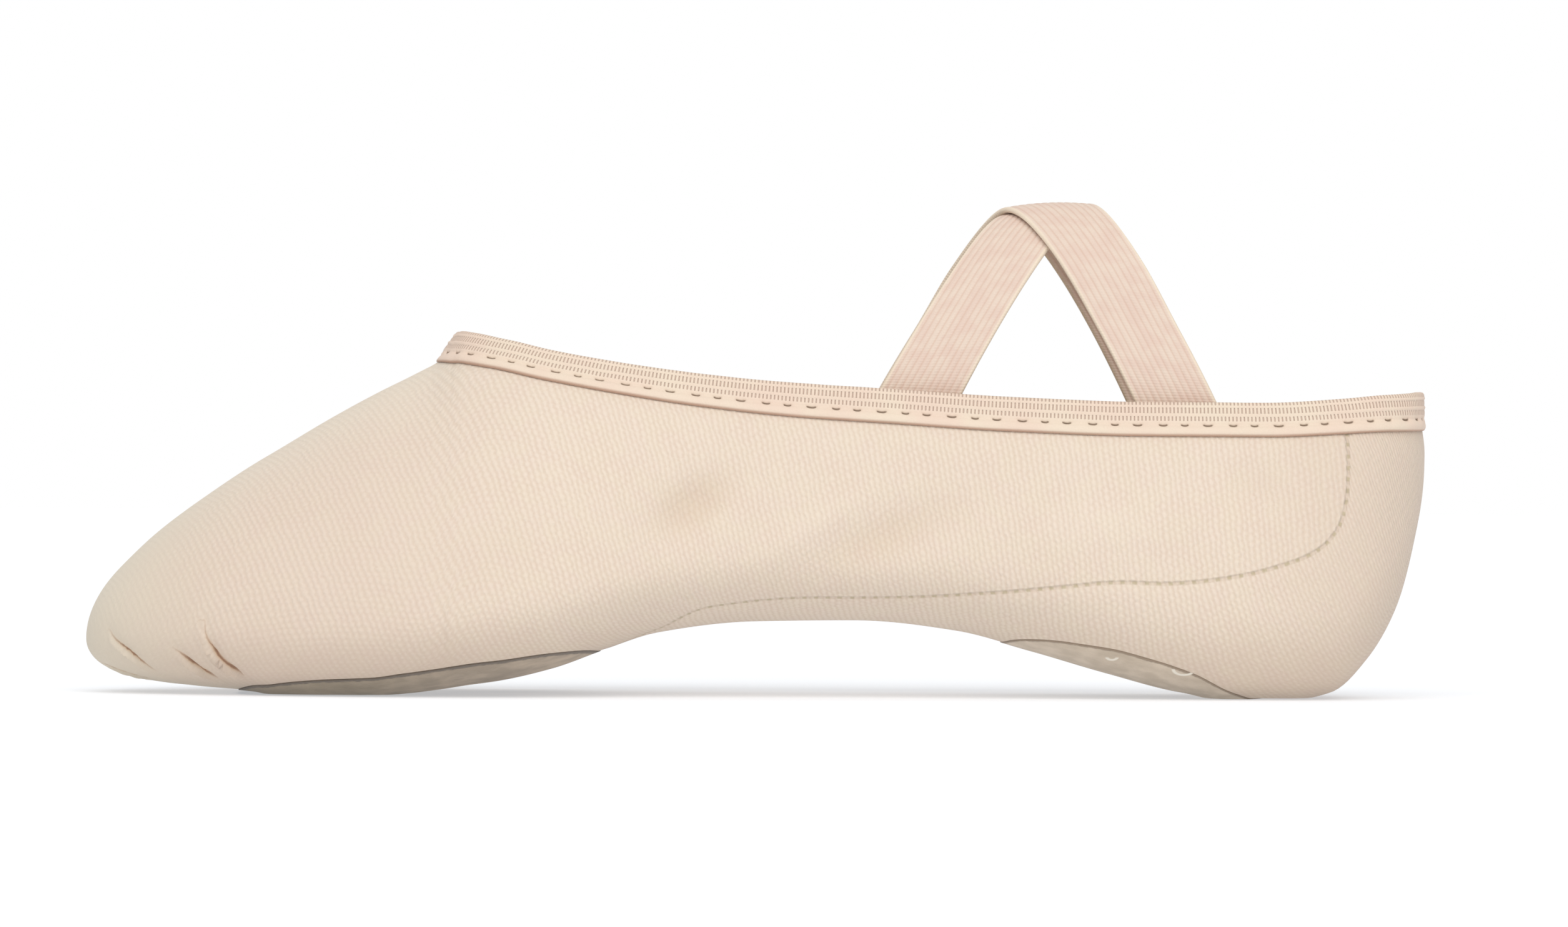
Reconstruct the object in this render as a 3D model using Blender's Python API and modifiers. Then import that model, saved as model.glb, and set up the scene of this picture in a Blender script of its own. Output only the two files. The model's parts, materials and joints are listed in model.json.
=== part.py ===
# Ballet slipper: stretch-canvas upper with a split suede sole and two elastic straps that cross over
# the instep. It stands empty on its sole. The toe points to -X, the heel to +X, +Z is up, and the
# origin lies on the floor under the middle of the slipper's box. The last is straight, so the
# slipper is the same on both sides of the XZ plane except for the order in which the straps cross.

import math

import bmesh
import bpy
import numpy as np
from mathutils import Vector
from mathutils.bvhtree import BVHTree
from mathutils.kdtree import KDTree

# Driving sizes, in metres.
LENGTH = 0.240            # toe tip to heel back
BALL_WIDTH = 0.076        # widest, at the ball of the foot
INSTEP_HEIGHT = 0.0642    # canvas edge at the throat
HEEL_HEIGHT = 0.0537      # canvas edge at the heel back
ARCH_RISE = 0.0135        # underside of the arch above the floor
WALL = 0.0012             # canvas with its lining
TUCK = 0.0011             # how far the elastic pulls the canvas edge in
TUCK_DEPTH = 0.010        # the stretch of canvas that the pull reaches
CLEAR = 0.00032           # gap between neighbouring pieces
BINDING_HEIGHT = 0.0068   # folded band, from its top to its lower edge
BINDING_THICK = 0.0010
SUEDE_PROUD = 0.00015     # suede stands this far below the canvas
INSOLE_THICK = 0.0015
INSOLE_GAP = 0.0005       # insole above the canvas and suede under it
INSOLE_MARGIN = 0.0004    # insole beyond the patch's outline
FOREFOOT_SOLE_LENGTH = 0.070
FOREFOOT_SOLE_WIDTH = 0.059
HEEL_SOLE_LENGTH = 0.0475
HEEL_SOLE_WIDTH = 0.045
STRAP_WIDTH = 0.0135
STRAP_THICK = 0.0010
STRAP_TOP = 0.0888        # top of the crossing above the floor
STRAP_LEAN = 0.0010       # the ridge leans this far to -Y
RIDGE_RADIUS = 0.0520     # how the straps' ridge curves down fore and aft of its top
STRAP_FOOT = 0.0130       # strap below the top of the canvas, inside

# Places along the slipper, as shares of LENGTH from the toe tip.
THROAT = 0.2729
FOREFOOT_SOLE_START = 0.0925
HEEL_SOLE_START = 0.6830
FRONT_FOOT = 0.6187
REAR_FOOT = 0.8138
RIDGE_PLACE = 0.7281

# Shape of the last's lower half: 2 is an ellipse, more is squarer.
SOLE_SQUARENESS = 2.5

# Shape of the straps' arch seen from the front, on the same scale.
ARCH_SQUARENESS = 1.8

# A strap's run is counted from -1 at the near collar to 1 at the far one. Each foot adds FOOT_SHARE.
# STRAP_BEND is how much of a strap's swing eases out towards its feet. The upper strap is lifted over
# the lower one within LIFT_REACH of the middle, and comes down again over LIFT_FADE.
FOOT_SHARE = 0.3
STRAP_BEND = 0.24
LIFT_REACH = 0.34
LIFT_FADE = 0.30

# Sections of the last. base, widest, crest and lip are shares of the collar line's height there. arch
# is a share of ARCH_RISE and adds to base. width is a share of BALL_WIDTH. pinch draws the flanks in.
# lip is the rise of the throat above the crest, which fades down the flanks.
SECTIONS = [
    # place   base    arch   widest  crest   lip     width  pinch
    (0.0000,  0.148,  0.00,  0.148,  0.148,  0.000,  0.000, 0.00),
    (0.0142,  0.073,  0.00,  0.180,  0.298,  0.000,  0.320, 0.00),
    (0.0329,  0.047,  0.00,  0.196,  0.377,  0.000,  0.470, 0.00),
    (0.0513,  0.033,  0.00,  0.202,  0.442,  0.000,  0.570, 0.02),
    (0.0888,  0.017,  0.00,  0.208,  0.548,  0.000,  0.722, 0.05),
    (0.1260,  0.006,  0.00,  0.214,  0.642,  0.000,  0.828, 0.10),
    (0.1450, -0.006,  0.00,  0.218,  0.685,  0.000,  0.870, 0.13),
    (0.1820, -0.008,  0.00,  0.226,  0.768,  0.000,  0.932, 0.18),
    (0.2200, -0.006,  0.00,  0.236,  0.845,  0.000,  0.975, 0.23),
    (0.2440,  0.000,  0.02,  0.246,  0.890,  0.000,  0.990, 0.26),
    (0.2575,  0.000,  0.05,  0.254,  0.918,  0.004,  0.995, 0.27),
    (0.2729,  0.000,  0.09,  0.264,  0.954,  0.046,  0.999, 0.28),
    (0.2830,  0.000,  0.12,  0.271,  0.981,  0.085,  1.000, 0.28),
    (0.3100,  0.000,  0.19,  0.292,  1.055,  0.130,  0.994, 0.27),
    (0.3500,  0.000,  0.36,  0.335,  1.150,  0.120,  0.965, 0.24),
    (0.3900,  0.000,  0.62,  0.385,  1.220,  0.080,  0.915, 0.20),
    (0.4250,  0.000,  0.82,  0.430,  1.262,  0.040,  0.860, 0.15),
    (0.5000,  0.000,  0.98,  0.494,  1.310,  0.000,  0.780, 0.08),
    (0.5750,  0.000,  1.00,  0.515,  1.330,  0.000,  0.742, 0.03),
    (0.6500,  0.000,  0.87,  0.510,  1.335,  0.000,  0.738, 0.00),
    (0.7050,  0.000,  0.62,  0.480,  1.340,  0.000,  0.745, 0.00),
    (0.7620,  0.000,  0.33,  0.435,  1.340,  0.000,  0.757, 0.00),
    (0.8180,  0.000,  0.08,  0.398,  1.340,  0.000,  0.763, 0.00),
    (0.8550, -0.012,  0.00,  0.390,  1.335,  0.000,  0.757, 0.00),
    (0.8950, -0.010,  0.00,  0.400,  1.325,  0.000,  0.728, 0.00),
    (0.9300,  0.020,  0.00,  0.430,  1.318,  0.000,  0.665, 0.00),
    (0.9560,  0.128,  0.00,  0.490,  1.312,  0.000,  0.580, 0.00),
    (0.9780,  0.300,  0.00,  0.600,  1.308,  0.000,  0.440, 0.00),
    (0.9930,  0.550,  0.00,  0.745,  1.304,  0.000,  0.265, 0.00),
    (1.0000,  0.800,  0.00,  0.900,  1.300,  0.000,  0.000, 0.00),
]
PLACE, BASE, ARCH, WIDEST, CREST, LIP, WIDTH, PINCH = range(8)
LIP_FADE = 6

# The canvas edge seen from the side: its height above HEEL_HEIGHT, as a share of the difference
# between INSTEP_HEIGHT and HEEL_HEIGHT. Ahead of the throat it is only a reference for the sections.
COLLAR_LINE = [
    # place   share
    (0.0000,  1.000),
    (0.2729,  1.000),
    (0.3130,  0.860),
    (0.3500,  0.667),
    (0.4070,  0.438),
    (0.4630,  0.267),
    (0.5190,  0.143),
    (0.5930,  0.038),
    (0.6880, -0.095),
    (0.7790, -0.165),
    (0.8750, -0.170),
    (0.9300, -0.105),
    (0.9670, -0.040),
    (1.0000,  0.000),
]

# Outlines of the suede patches: share of the patch's length, share of its half width.
FOREFOOT_OUTLINE = [
    (0.000, 0.00),
    (0.043, 0.41),
    (0.114, 0.60),
    (0.214, 0.76),
    (0.400, 0.91),
    (0.557, 0.98),
    (0.686, 1.00),
    (0.864, 0.89),
    (0.943, 0.71),
    (0.986, 0.40),
    (1.000, 0.00),
]
HEEL_OUTLINE = [
    (0.000, 0.00),
    (0.042, 0.60),
    (0.126, 0.80),
    (0.263, 0.93),
    (0.453, 1.00),
    (0.580, 0.99),
    (0.714, 0.92),
    (0.850, 0.72),
    (0.940, 0.47),
    (1.000, 0.00),
]

# Counts of facets. The rows run across the slipper, the columns along it.
VAMP_ROWS = 16
QUARTER_ROWS = 32
UPPER_COLUMNS = 28
COLLAR_STEPS = 34
EDGE_STEPS = 400
EDGE_CROWDING = 1.2
COLLAR_CROWDING = 0.75
PATCH_ROWS = 16
PATCH_COLUMNS = 8
STRAP_ROWS = 40
STRAP_COLUMNS = 4

# Counts of the fine steps that curves are measured in, and the distance that joins meeting points.
SECTION_STEPS = 360
FLANK_STEPS = 120
ARCH_STEPS = 120
JOIN = 0.00001


def turn(share):
    """A share of a length as an angle from 0 to 1, which opens out both of its round ends."""
    return math.acos(1 - 2 * min(max(share, 0), 1)) / math.pi


def through(table, column, share):
    """A smooth line through one column of a table, without overshoot between its rows."""
    knots = np.array([turn(row[PLACE]) for row in table])
    values = np.array([row[column] for row in table])
    steps = np.diff(knots)
    slopes = np.diff(values) / steps
    tangents = np.zeros(len(knots))
    tangents[0] = slopes[0]
    tangents[-1] = slopes[-1]
    for k in range(1, len(knots) - 1):
        if slopes[k - 1] * slopes[k] > 0:
            near = 2 * steps[k] + steps[k - 1]
            far = steps[k] + 2 * steps[k - 1]
            tangents[k] = (near + far) / (near / slopes[k - 1] + far / slopes[k])
    at = turn(share)
    k = int(np.clip(np.searchsorted(knots, at) - 1, 0, len(steps) - 1))
    t = (at - knots[k]) / steps[k]
    rise = t * t * (3 - 2 * t)
    start = values[k] + (values[k + 1] - values[k]) * rise
    bend = tangents[k] * t * (1 - t) ** 2 - tangents[k + 1] * t * t * (1 - t)
    return start + bend * steps[k]


def along(place):
    """X of a place given as a share of the slipper's length."""
    return (place - 0.5) * LENGTH


def place_of(x):
    return x / LENGTH + 0.5


def collar_height(place):
    """Height of the canvas edge, and ahead of the throat the height that sections refer to."""
    return HEEL_HEIGHT + (INSTEP_HEIGHT - HEEL_HEIGHT) * through(COLLAR_LINE, 1, place)


def last_at(place):
    """Height of the underside, height of the widest line and half width of the last at one place."""
    line = collar_height(place)
    under = through(SECTIONS, BASE, place) * line + through(SECTIONS, ARCH, place) * ARCH_RISE
    widest = through(SECTIONS, WIDEST, place) * line
    return under, widest, through(SECTIONS, WIDTH, place) * BALL_WIDTH / 2


def section(place, count):
    """One side of a section: count + 1 points from the canvas edge to the middle of the underside,
    a little closer together near the edge, each as (y, z, distance from the edge)."""
    under, widest, half = last_at(place)
    line = collar_height(place)
    rise = through(SECTIONS, CREST, place) * line - widest
    lip = through(SECTIONS, LIP, place) * line
    pinch = through(SECTIONS, PINCH, place)
    theta = np.linspace(0, math.pi, SECTION_STEPS + 1)
    c = np.cos(theta)
    s = np.abs(np.sin(theta))
    power = 2 / SOLE_SQUARENESS
    upper = c > 0
    y = half * np.where(upper, s * (1 - pinch * c * c), s ** power)
    z = widest + np.where(upper, rise * c + lip * c ** LIP_FADE, (under - widest) * np.abs(c) ** power)
    if place > THROAT:
        cut = np.interp(-line, -z, theta)
        y = np.concatenate([[np.interp(cut, theta, y)], y[theta > cut]])
        z = np.concatenate([[line], z[theta > cut]])
    z = np.maximum(z, SUEDE_PROUD)
    run = np.concatenate([[0], np.cumsum(np.hypot(np.diff(y), np.diff(z)))])
    at = run[-1] * np.linspace(0, 1, count + 1) ** EDGE_CROWDING
    return np.column_stack([np.interp(at, run, y), np.interp(at, run, z), at])


def underside(x, y):
    """Height of the last's underside, before the canvas is flattened by the floor."""
    under, widest, half = last_at(place_of(x))
    reach = min(abs(y) / half, 1.0)
    return widest - (widest - under) * (1 - reach ** SOLE_SQUARENESS) ** (1 / SOLE_SQUARENESS)


def row_places(vamp_rows, quarter_rows):
    """Places of the sections, closest together at the toe, the throat and the heel back."""
    vamp = [THROAT * (1 - math.cos(math.pi * k / vamp_rows)) / 2 for k in range(vamp_rows)]
    quarter = [THROAT + (1 - THROAT) * (1 - math.cos(math.pi * k / quarter_rows)) / 2
               for k in range(quarter_rows + 1)]
    return vamp + quarter


def collar_edge(steps):
    """The near side's canvas edge before the elastic pulls it in, from the throat to the heel."""
    points = []
    for k in range(steps + 1):
        place = THROAT + (1 - THROAT) * (1 - math.cos(math.pi * k / steps)) / 2
        y, z, down = section(place, 2)[0]
        points.append((along(place), -y, z))
    return np.array(points)


def pulled_in(distance):
    """How far the elastic draws the canvas in at a distance from its edge."""
    near = np.clip(1 - distance / TUCK_DEPTH, 0, 1)
    return TUCK * near * near * (3 - 2 * near)


def last_surface(vamp_rows, quarter_rows, columns):
    """The canvas's outer face as an open bmesh, from the collar edge round under the foot."""
    bm = bmesh.new()
    places = row_places(vamp_rows, quarter_rows)
    bmesh.ops.create_grid(bm, x_segments=len(places) - 1, y_segments=columns, size=0.5)
    half = columns // 2
    rows = [section(place, half) for place in places]
    for vert in bm.verts:
        row = round((vert.co.x + 0.5) * (len(places) - 1))
        column = round((vert.co.y + 0.5) * columns)
        side = -1 if column < half else 1
        y, z, down = rows[row][min(column, columns - column)]
        vert.co = (along(places[row]), side * y, z)
    bmesh.ops.remove_doubles(bm, verts=bm.verts, dist=JOIN)
    bmesh.ops.recalc_face_normals(bm, faces=bm.faces)
    bm.normal_update()
    edge = collar_edge(EDGE_STEPS)
    tree = KDTree(len(edge))
    for k, point in enumerate(edge):
        tree.insert(point, k)
    tree.balance()
    shifts = []
    for vert in bm.verts:
        distance = tree.find((vert.co.x, -abs(vert.co.y), vert.co.z))[2]
        shifts.append(vert.normal * pulled_in(distance))
    for vert, shift in zip(bm.verts, shifts):
        vert.co -= shift
    return bm


def material(name, colour, roughness):
    """A Principled material from an sRGB colour."""
    linear = [((c + 0.055) / 1.055) ** 2.4 for c in colour]
    made = bpy.data.materials.new(name)
    made.use_nodes = True
    shader = made.node_tree.nodes["Principled BSDF"]
    shader.inputs["Base Color"].default_value = (*linear, 1)
    shader.inputs["Roughness"].default_value = roughness
    shader.inputs["Metallic"].default_value = 0
    return made


def add(name, bm, finish):
    """An object of the slipper from a bmesh, shaded smooth but for its sharp edges."""
    mesh = bpy.data.meshes.new(name)
    bm.to_mesh(mesh)
    bm.free()
    mesh.shade_smooth()
    mesh.set_sharp_from_angle(angle=math.radians(40))
    mesh.materials.append(finish)
    made = bpy.data.objects.new(name, mesh)
    slipper.objects.link(made)
    return made


def outline(table, start, length, width, margin, rows):
    """A patch's outline: (x, half width) for each row, margin outside its named size."""
    half = width / 2
    points = []
    for k in range(rows + 1):
        share = (1 - math.cos(math.pi * k / rows)) / 2
        x = along(start) - margin + (length + 2 * margin) * share
        points.append((x, through(table, 1, share) * (half + margin)))
    return points


def make_upper():
    """Canvas shell, one wall, open at the collar and over the two suede patches."""
    upper = add("upper", last_surface(VAMP_ROWS, QUARTER_ROWS, UPPER_COLUMNS),
                material("stretch canvas", (0.90, 0.83, 0.76), 0.85))
    wall = upper.modifiers.new("wall", "SOLIDIFY")
    wall.thickness = WALL
    wall.offset = -1
    for patch, points in PATCHES.items():
        bm = bmesh.new()
        ring = [bm.verts.new((x, -y, -WALL)) for x, y in points]
        ring += [bm.verts.new((x, y, -WALL)) for x, y in reversed(points[1:-1])]
        face = bm.faces.new(ring)
        tall = bmesh.ops.extrude_face_region(bm, geom=[face])
        lifted = [part for part in tall["geom"] if isinstance(part, bmesh.types.BMVert)]
        bmesh.ops.translate(bm, verts=lifted, vec=(0, 0, INSTEP_HEIGHT / 3))
        bmesh.ops.recalc_face_normals(bm, faces=bm.faces)
        mesh = bpy.data.meshes.new(patch + "_cutter")
        bm.to_mesh(mesh)
        bm.free()
        cutter = bpy.data.objects.new(patch + "_cutter", mesh)
        cutters.objects.link(cutter)
        cutter.hide_render = True
        cutter.display_type = "WIRE"
        cut = upper.modifiers.new(patch + "_opening", "BOOLEAN")
        cut.operation = "DIFFERENCE"
        cut.solver = "EXACT"
        cut.object = cutter


def thickened_height(x, y, distance):
    """Height of a face that lies a distance above the underside, measured square to it."""
    reach = LENGTH / 1000
    slope_x = (underside(x + reach, y) - underside(x - reach, y)) / (2 * reach)
    slope_y = (underside(x, y + reach) - underside(x, y - reach)) / (2 * reach)
    return max(underside(x, y), SUEDE_PROUD) + distance * math.sqrt(1 + slope_x ** 2 + slope_y ** 2)


def make_layer(name, points, lower, upper, finish):
    """A thin layer on the underside. points give its outline, lower and upper its two faces."""
    bm = bmesh.new()
    rows = len(points) - 1
    bmesh.ops.create_grid(bm, x_segments=rows, y_segments=PATCH_COLUMNS, size=0.5)
    for vert in bm.verts:
        x, half = points[round((vert.co.x + 0.5) * rows)]
        vert.co = (x, 2 * vert.co.y * half, 0)
    bmesh.ops.remove_doubles(bm, verts=bm.verts, dist=JOIN)
    for vert in bm.verts:
        vert.co.z = lower(vert.co.x, vert.co.y)
    raised = bmesh.ops.extrude_face_region(bm, geom=bm.faces[:])
    for part in raised["geom"]:
        if isinstance(part, bmesh.types.BMVert):
            part.co.z = upper(part.co.x, part.co.y)
    bmesh.ops.recalc_face_normals(bm, faces=bm.faces)
    add(name, bm, finish)


def make_soles():
    """Two suede patches that fill the openings, flush with the canvas and flat on the floor."""
    suede = material("suede", (0.62, 0.55, 0.47), 0.95)
    inset = {
        "forefoot_sole": outline(FOREFOOT_OUTLINE, FOREFOOT_SOLE_START, FOREFOOT_SOLE_LENGTH,
                                 FOREFOOT_SOLE_WIDTH, -CLEAR, PATCH_ROWS),
        "heel_sole": outline(HEEL_OUTLINE, HEEL_SOLE_START, HEEL_SOLE_LENGTH,
                             HEEL_SOLE_WIDTH, -CLEAR, PATCH_ROWS),
    }
    for name, points in inset.items():
        make_layer(name, points,
                   lambda x, y: max(underside(x, y) - SUEDE_PROUD, 0),
                   lambda x, y: thickened_height(x, y, WALL), suede)


def make_insoles():
    """Two thin padded insoles over the patches, lying on the inside of the canvas round them."""
    cotton = material("insole cotton", (0.88, 0.82, 0.75), 0.9)
    wider = {
        "forefoot_insole": outline(FOREFOOT_OUTLINE, FOREFOOT_SOLE_START, FOREFOOT_SOLE_LENGTH,
                                   FOREFOOT_SOLE_WIDTH, INSOLE_MARGIN, PATCH_ROWS),
        "heel_insole": outline(HEEL_OUTLINE, HEEL_SOLE_START, HEEL_SOLE_LENGTH,
                               HEEL_SOLE_WIDTH, INSOLE_MARGIN, PATCH_ROWS),
    }
    for name, points in wider.items():
        make_layer(name, points,
                   lambda x, y: thickened_height(x, y, WALL + INSOLE_GAP),
                   lambda x, y: thickened_height(x, y, WALL + INSOLE_GAP + INSOLE_THICK), cotton)


def seat_on_canvas(point):
    """The nearest point on the canvas's outer face, with its normal."""
    return smooth_last.find_nearest(point)[:2]


def collar_frames(steps):
    """Points round the canvas edge, each with its outward normal and its direction down the wall."""
    side = collar_edge(EDGE_STEPS)
    run = np.concatenate([[0], np.cumsum(np.linalg.norm(np.diff(side, axis=0), axis=1))])
    # Steps are closer together at the throat and the heel, where the edge turns most.
    even = np.arange(steps + 1) / steps
    at = run[-1] * (even + COLLAR_CROWDING * ((1 - np.cos(math.pi * even)) / 2 - even))
    near = [Vector([np.interp(a, run, side[:, axis]) for axis in range(3)]) for a in at]
    far = [Vector((p.x, -p.y, p.z)) for p in near[-2:0:-1]]
    ring = near + far
    frames = []
    for k, point in enumerate(ring):
        ahead = (ring[(k + 1) % len(ring)] - ring[k - 1]).normalized()
        seat, normal = seat_on_canvas(point)
        down = ahead.cross(normal).normalized()
        if down.z > 0:
            down.negate()
        frames.append((seat, normal, down))
    return frames


def make_binding():
    """Elastic band folded over the canvas edge: ribbed above, a stitch groove, a rolled lower edge."""
    thick = BINDING_THICK
    leg = BINDING_HEIGHT - CLEAR - thick
    out = CLEAR
    inside = -WALL - CLEAR
    # Each point: distance outwards from the canvas's outer face, distance down from its edge.
    profile = [
        (-WALL / 2, -CLEAR - thick),
        (out + 0.60 * thick, -CLEAR - 0.70 * thick),
        (out + thick, 0.0),
        (out + thick, 0.52 * leg),
        (out + 0.60 * thick, 0.66 * leg),
        (out + 1.10 * thick, 0.80 * leg),
        (out + 0.80 * thick, leg),
        (out, leg),
        (out, 0.50 * leg),
        (out, -CLEAR),
        (inside, -CLEAR),
        (inside, 0.40 * leg),
        (inside, 0.78 * leg),
        (inside - thick, 0.78 * leg),
        (inside - thick, 0.0),
        (inside - 0.60 * thick, -CLEAR - 0.70 * thick),
    ]
    frames = collar_frames(COLLAR_STEPS)
    bm = bmesh.new()
    loops = []
    for point, normal, down in frames:
        loop = []
        for outwards, drop in profile:
            if drop > 0:
                seat, facing = seat_on_canvas(point + down * drop)
                spot = seat + facing * outwards
            else:
                spot = point + normal * outwards + down * drop
            loop.append(bm.verts.new(spot))
        loops.append(loop)
    for k, loop in enumerate(loops):
        following = loops[(k + 1) % len(loops)]
        for j in range(len(profile)):
            after = (j + 1) % len(profile)
            bm.faces.new((loop[j], loop[after], following[after], following[j]))
    bmesh.ops.recalc_face_normals(bm, faces=bm.faces)
    add("binding", bm, material("elastic binding", (0.91, 0.83, 0.76), 0.7))


def strap_profile(x):
    """The straps' arch over one place, from the near foot to the far one, as (y, z) points and the
    share of the arch that each has reached: -1 at the near collar, 1 at the far one."""
    inwards = WALL + 2 * CLEAR + BINDING_THICK + STRAP_THICK / 2
    y, z, down = section(place_of(x), FLANK_STEPS).T
    back = inwards + pulled_in(down)
    facing = np.column_stack([-np.gradient(z), np.gradient(y)])
    facing /= np.linalg.norm(facing, axis=1)[:, None]
    foot = np.column_stack([y, z]) - facing * back[:, None]
    # The foot runs on past the canvas edge, inside the binding's fold, before it turns upright.
    fold = CLEAR + BINDING_THICK
    over = foot[0] + (foot[0] - foot[1]) / np.linalg.norm(foot[0] - foot[1]) * fold
    foot = np.vstack([over, foot])
    down = np.concatenate([[0], down + fold])
    deep = int(np.searchsorted(down, STRAP_FOOT))
    foot = foot[:deep + 1]
    half, start = foot[0]
    # Above the arch come half the lower strap, the gap and the whole upper strap.
    summit = STRAP_TOP - STRAP_THICK * 3 / 2 - CLEAR
    rise = summit - (x - along(RIDGE_PLACE)) ** 2 / (2 * RIDGE_RADIUS) - start
    angle = np.linspace(0, math.pi, ARCH_STEPS + 1)
    power = 2 / ARCH_SQUARENESS
    arch_y = -half * np.sign(np.cos(angle)) * np.abs(np.cos(angle)) ** power
    arch_z = start + rise * np.abs(np.sin(angle)) ** power
    arch_y -= STRAP_LEAN * ((arch_z - start) / rise) ** 2
    run = np.concatenate([[0], np.cumsum(np.hypot(np.diff(arch_y), np.diff(arch_z)))])
    reached = 2 * run / run[-1] - 1
    tail = FOOT_SHARE * down[1:deep + 1] / down[deep]
    path = np.vstack([np.column_stack([-foot[:0:-1, 0], foot[:0:-1, 1]]),
                      np.column_stack([arch_y, arch_z]), foot[1:]])
    share = np.concatenate([-1 - tail[::-1], reached, 1 + tail])
    return path, share


def make_strap(name, start, end, lift, finish):
    """One flat elastic strap from its near foot to its far one. lift raises it over the other where
    they cross."""
    middle = (along(start) + along(end)) / 2
    swing = (along(end) - along(start)) / 2
    path, shares = strap_profile(middle)
    arch = path[np.abs(shares) <= 1]
    half_run = np.hypot(*np.diff(arch, axis=0).T).sum() / 2
    step = 1 / ARCH_STEPS
    bm = bmesh.new()
    bmesh.ops.create_grid(bm, x_segments=STRAP_ROWS, y_segments=STRAP_COLUMNS, size=0.5)
    for vert in bm.verts:
        share = 2 * vert.co.x * (1 + FOOT_SHARE)
        held = max(-1, min(1, share))
        ease = math.sin(math.pi * held / 2) - held
        turned = math.pi / 2 * math.cos(math.pi * held / 2) - 1
        x = middle + swing * (held + STRAP_BEND * ease)
        slope = swing * (1 + STRAP_BEND * turned) / half_run
        x += 2 * vert.co.y * STRAP_WIDTH / 2 * math.sqrt(1 + slope * slope)
        path, shares = strap_profile(x)
        y = np.interp(share, shares, path[:, 0])
        z = np.interp(share, shares, path[:, 1])
        side = np.array([np.interp(share + step, shares, path[:, axis])
                         - np.interp(share - step, shares, path[:, axis]) for axis in range(2)])
        side /= np.linalg.norm(side)
        over = max(0, 1 - max(0, abs(share) - LIFT_REACH) / LIFT_FADE)
        over = lift * over * over * (3 - 2 * over)
        vert.co = (x, y - side[1] * over, z + side[0] * over)
    bmesh.ops.recalc_face_normals(bm, faces=bm.faces)
    strap = add(name, bm, finish)
    body = strap.modifiers.new("thickness", "SOLIDIFY")
    body.thickness = STRAP_THICK
    body.offset = 0


for old in list(bpy.data.objects):
    bpy.data.objects.remove(old, do_unlink=True)
slipper = bpy.data.collections.new("ballet_slipper")
cutters = bpy.data.collections.new("cutters")
bpy.context.scene.collection.children.link(slipper)
bpy.context.scene.collection.children.link(cutters)

PATCHES = {
    "forefoot_sole": outline(FOREFOOT_OUTLINE, FOREFOOT_SOLE_START, FOREFOOT_SOLE_LENGTH,
                             FOREFOOT_SOLE_WIDTH, 0, PATCH_ROWS),
    "heel_sole": outline(HEEL_OUTLINE, HEEL_SOLE_START, HEEL_SOLE_LENGTH,
                         HEEL_SOLE_WIDTH, 0, PATCH_ROWS),
}
guide = last_surface(4 * VAMP_ROWS, 4 * QUARTER_ROWS, 4 * UPPER_COLUMNS)
smooth_last = BVHTree.FromBMesh(guide)
guide.free()

make_upper()
make_soles()
make_insoles()
make_binding()
elastic = material("strap elastic", (0.91, 0.84, 0.77), 0.75)
make_strap("front_strap", FRONT_FOOT, REAR_FOOT, 0, elastic)
make_strap("rear_strap", REAR_FOOT, FRONT_FOOT, STRAP_THICK + CLEAR, elastic)
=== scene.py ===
import json
import math
from functools import partial

import bmesh
import bpy
import numpy as np
from mathutils import Matrix, Vector, noise
from mathutils.bvhtree import BVHTree
from mathutils.kdtree import KDTree

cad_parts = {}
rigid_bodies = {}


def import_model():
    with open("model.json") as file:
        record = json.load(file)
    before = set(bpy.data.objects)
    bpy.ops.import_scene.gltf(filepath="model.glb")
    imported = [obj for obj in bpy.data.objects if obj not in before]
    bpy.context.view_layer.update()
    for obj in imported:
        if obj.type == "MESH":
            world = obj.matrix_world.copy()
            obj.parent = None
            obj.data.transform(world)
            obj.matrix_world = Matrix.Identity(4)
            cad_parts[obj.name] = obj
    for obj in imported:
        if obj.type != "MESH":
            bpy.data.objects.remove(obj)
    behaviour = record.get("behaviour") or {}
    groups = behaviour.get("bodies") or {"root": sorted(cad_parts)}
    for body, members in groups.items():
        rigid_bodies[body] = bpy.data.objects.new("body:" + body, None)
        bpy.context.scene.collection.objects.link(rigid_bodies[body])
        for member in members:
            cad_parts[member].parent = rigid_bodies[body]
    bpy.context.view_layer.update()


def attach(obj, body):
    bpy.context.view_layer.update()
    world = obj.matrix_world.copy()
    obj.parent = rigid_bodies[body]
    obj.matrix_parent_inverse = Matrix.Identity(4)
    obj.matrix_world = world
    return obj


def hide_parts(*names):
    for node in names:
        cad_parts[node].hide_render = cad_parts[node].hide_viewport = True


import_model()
MM = 0.001

# Camera. It stands level beside the slipper, a long lens away, as the photograph was taken, and it is
# rolled a third of a degree because the photographed floor drops that much towards the heel.
SIDE_DISTANCE = 1.6
LENS = 204.6
CENTRE_X = 5.05 * MM
CENTRE_Z = 41.6 * MM
ROLL = math.radians(0.31)
lens = bpy.data.cameras.new("camera")
lens.lens = LENS
lens.sensor_width = 36
lens.clip_start = 0.05
camera = bpy.data.objects.new("camera", lens)
camera.matrix_world = (Matrix.Translation((CENTRE_X, -SIDE_DISTANCE, CENTRE_Z))
                       @ Matrix.Rotation(-ROLL, 4, "Y") @ Matrix.Rotation(math.pi / 2, 4, "X"))
bpy.context.scene.collection.objects.link(camera)
bpy.context.scene.camera = camera

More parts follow.
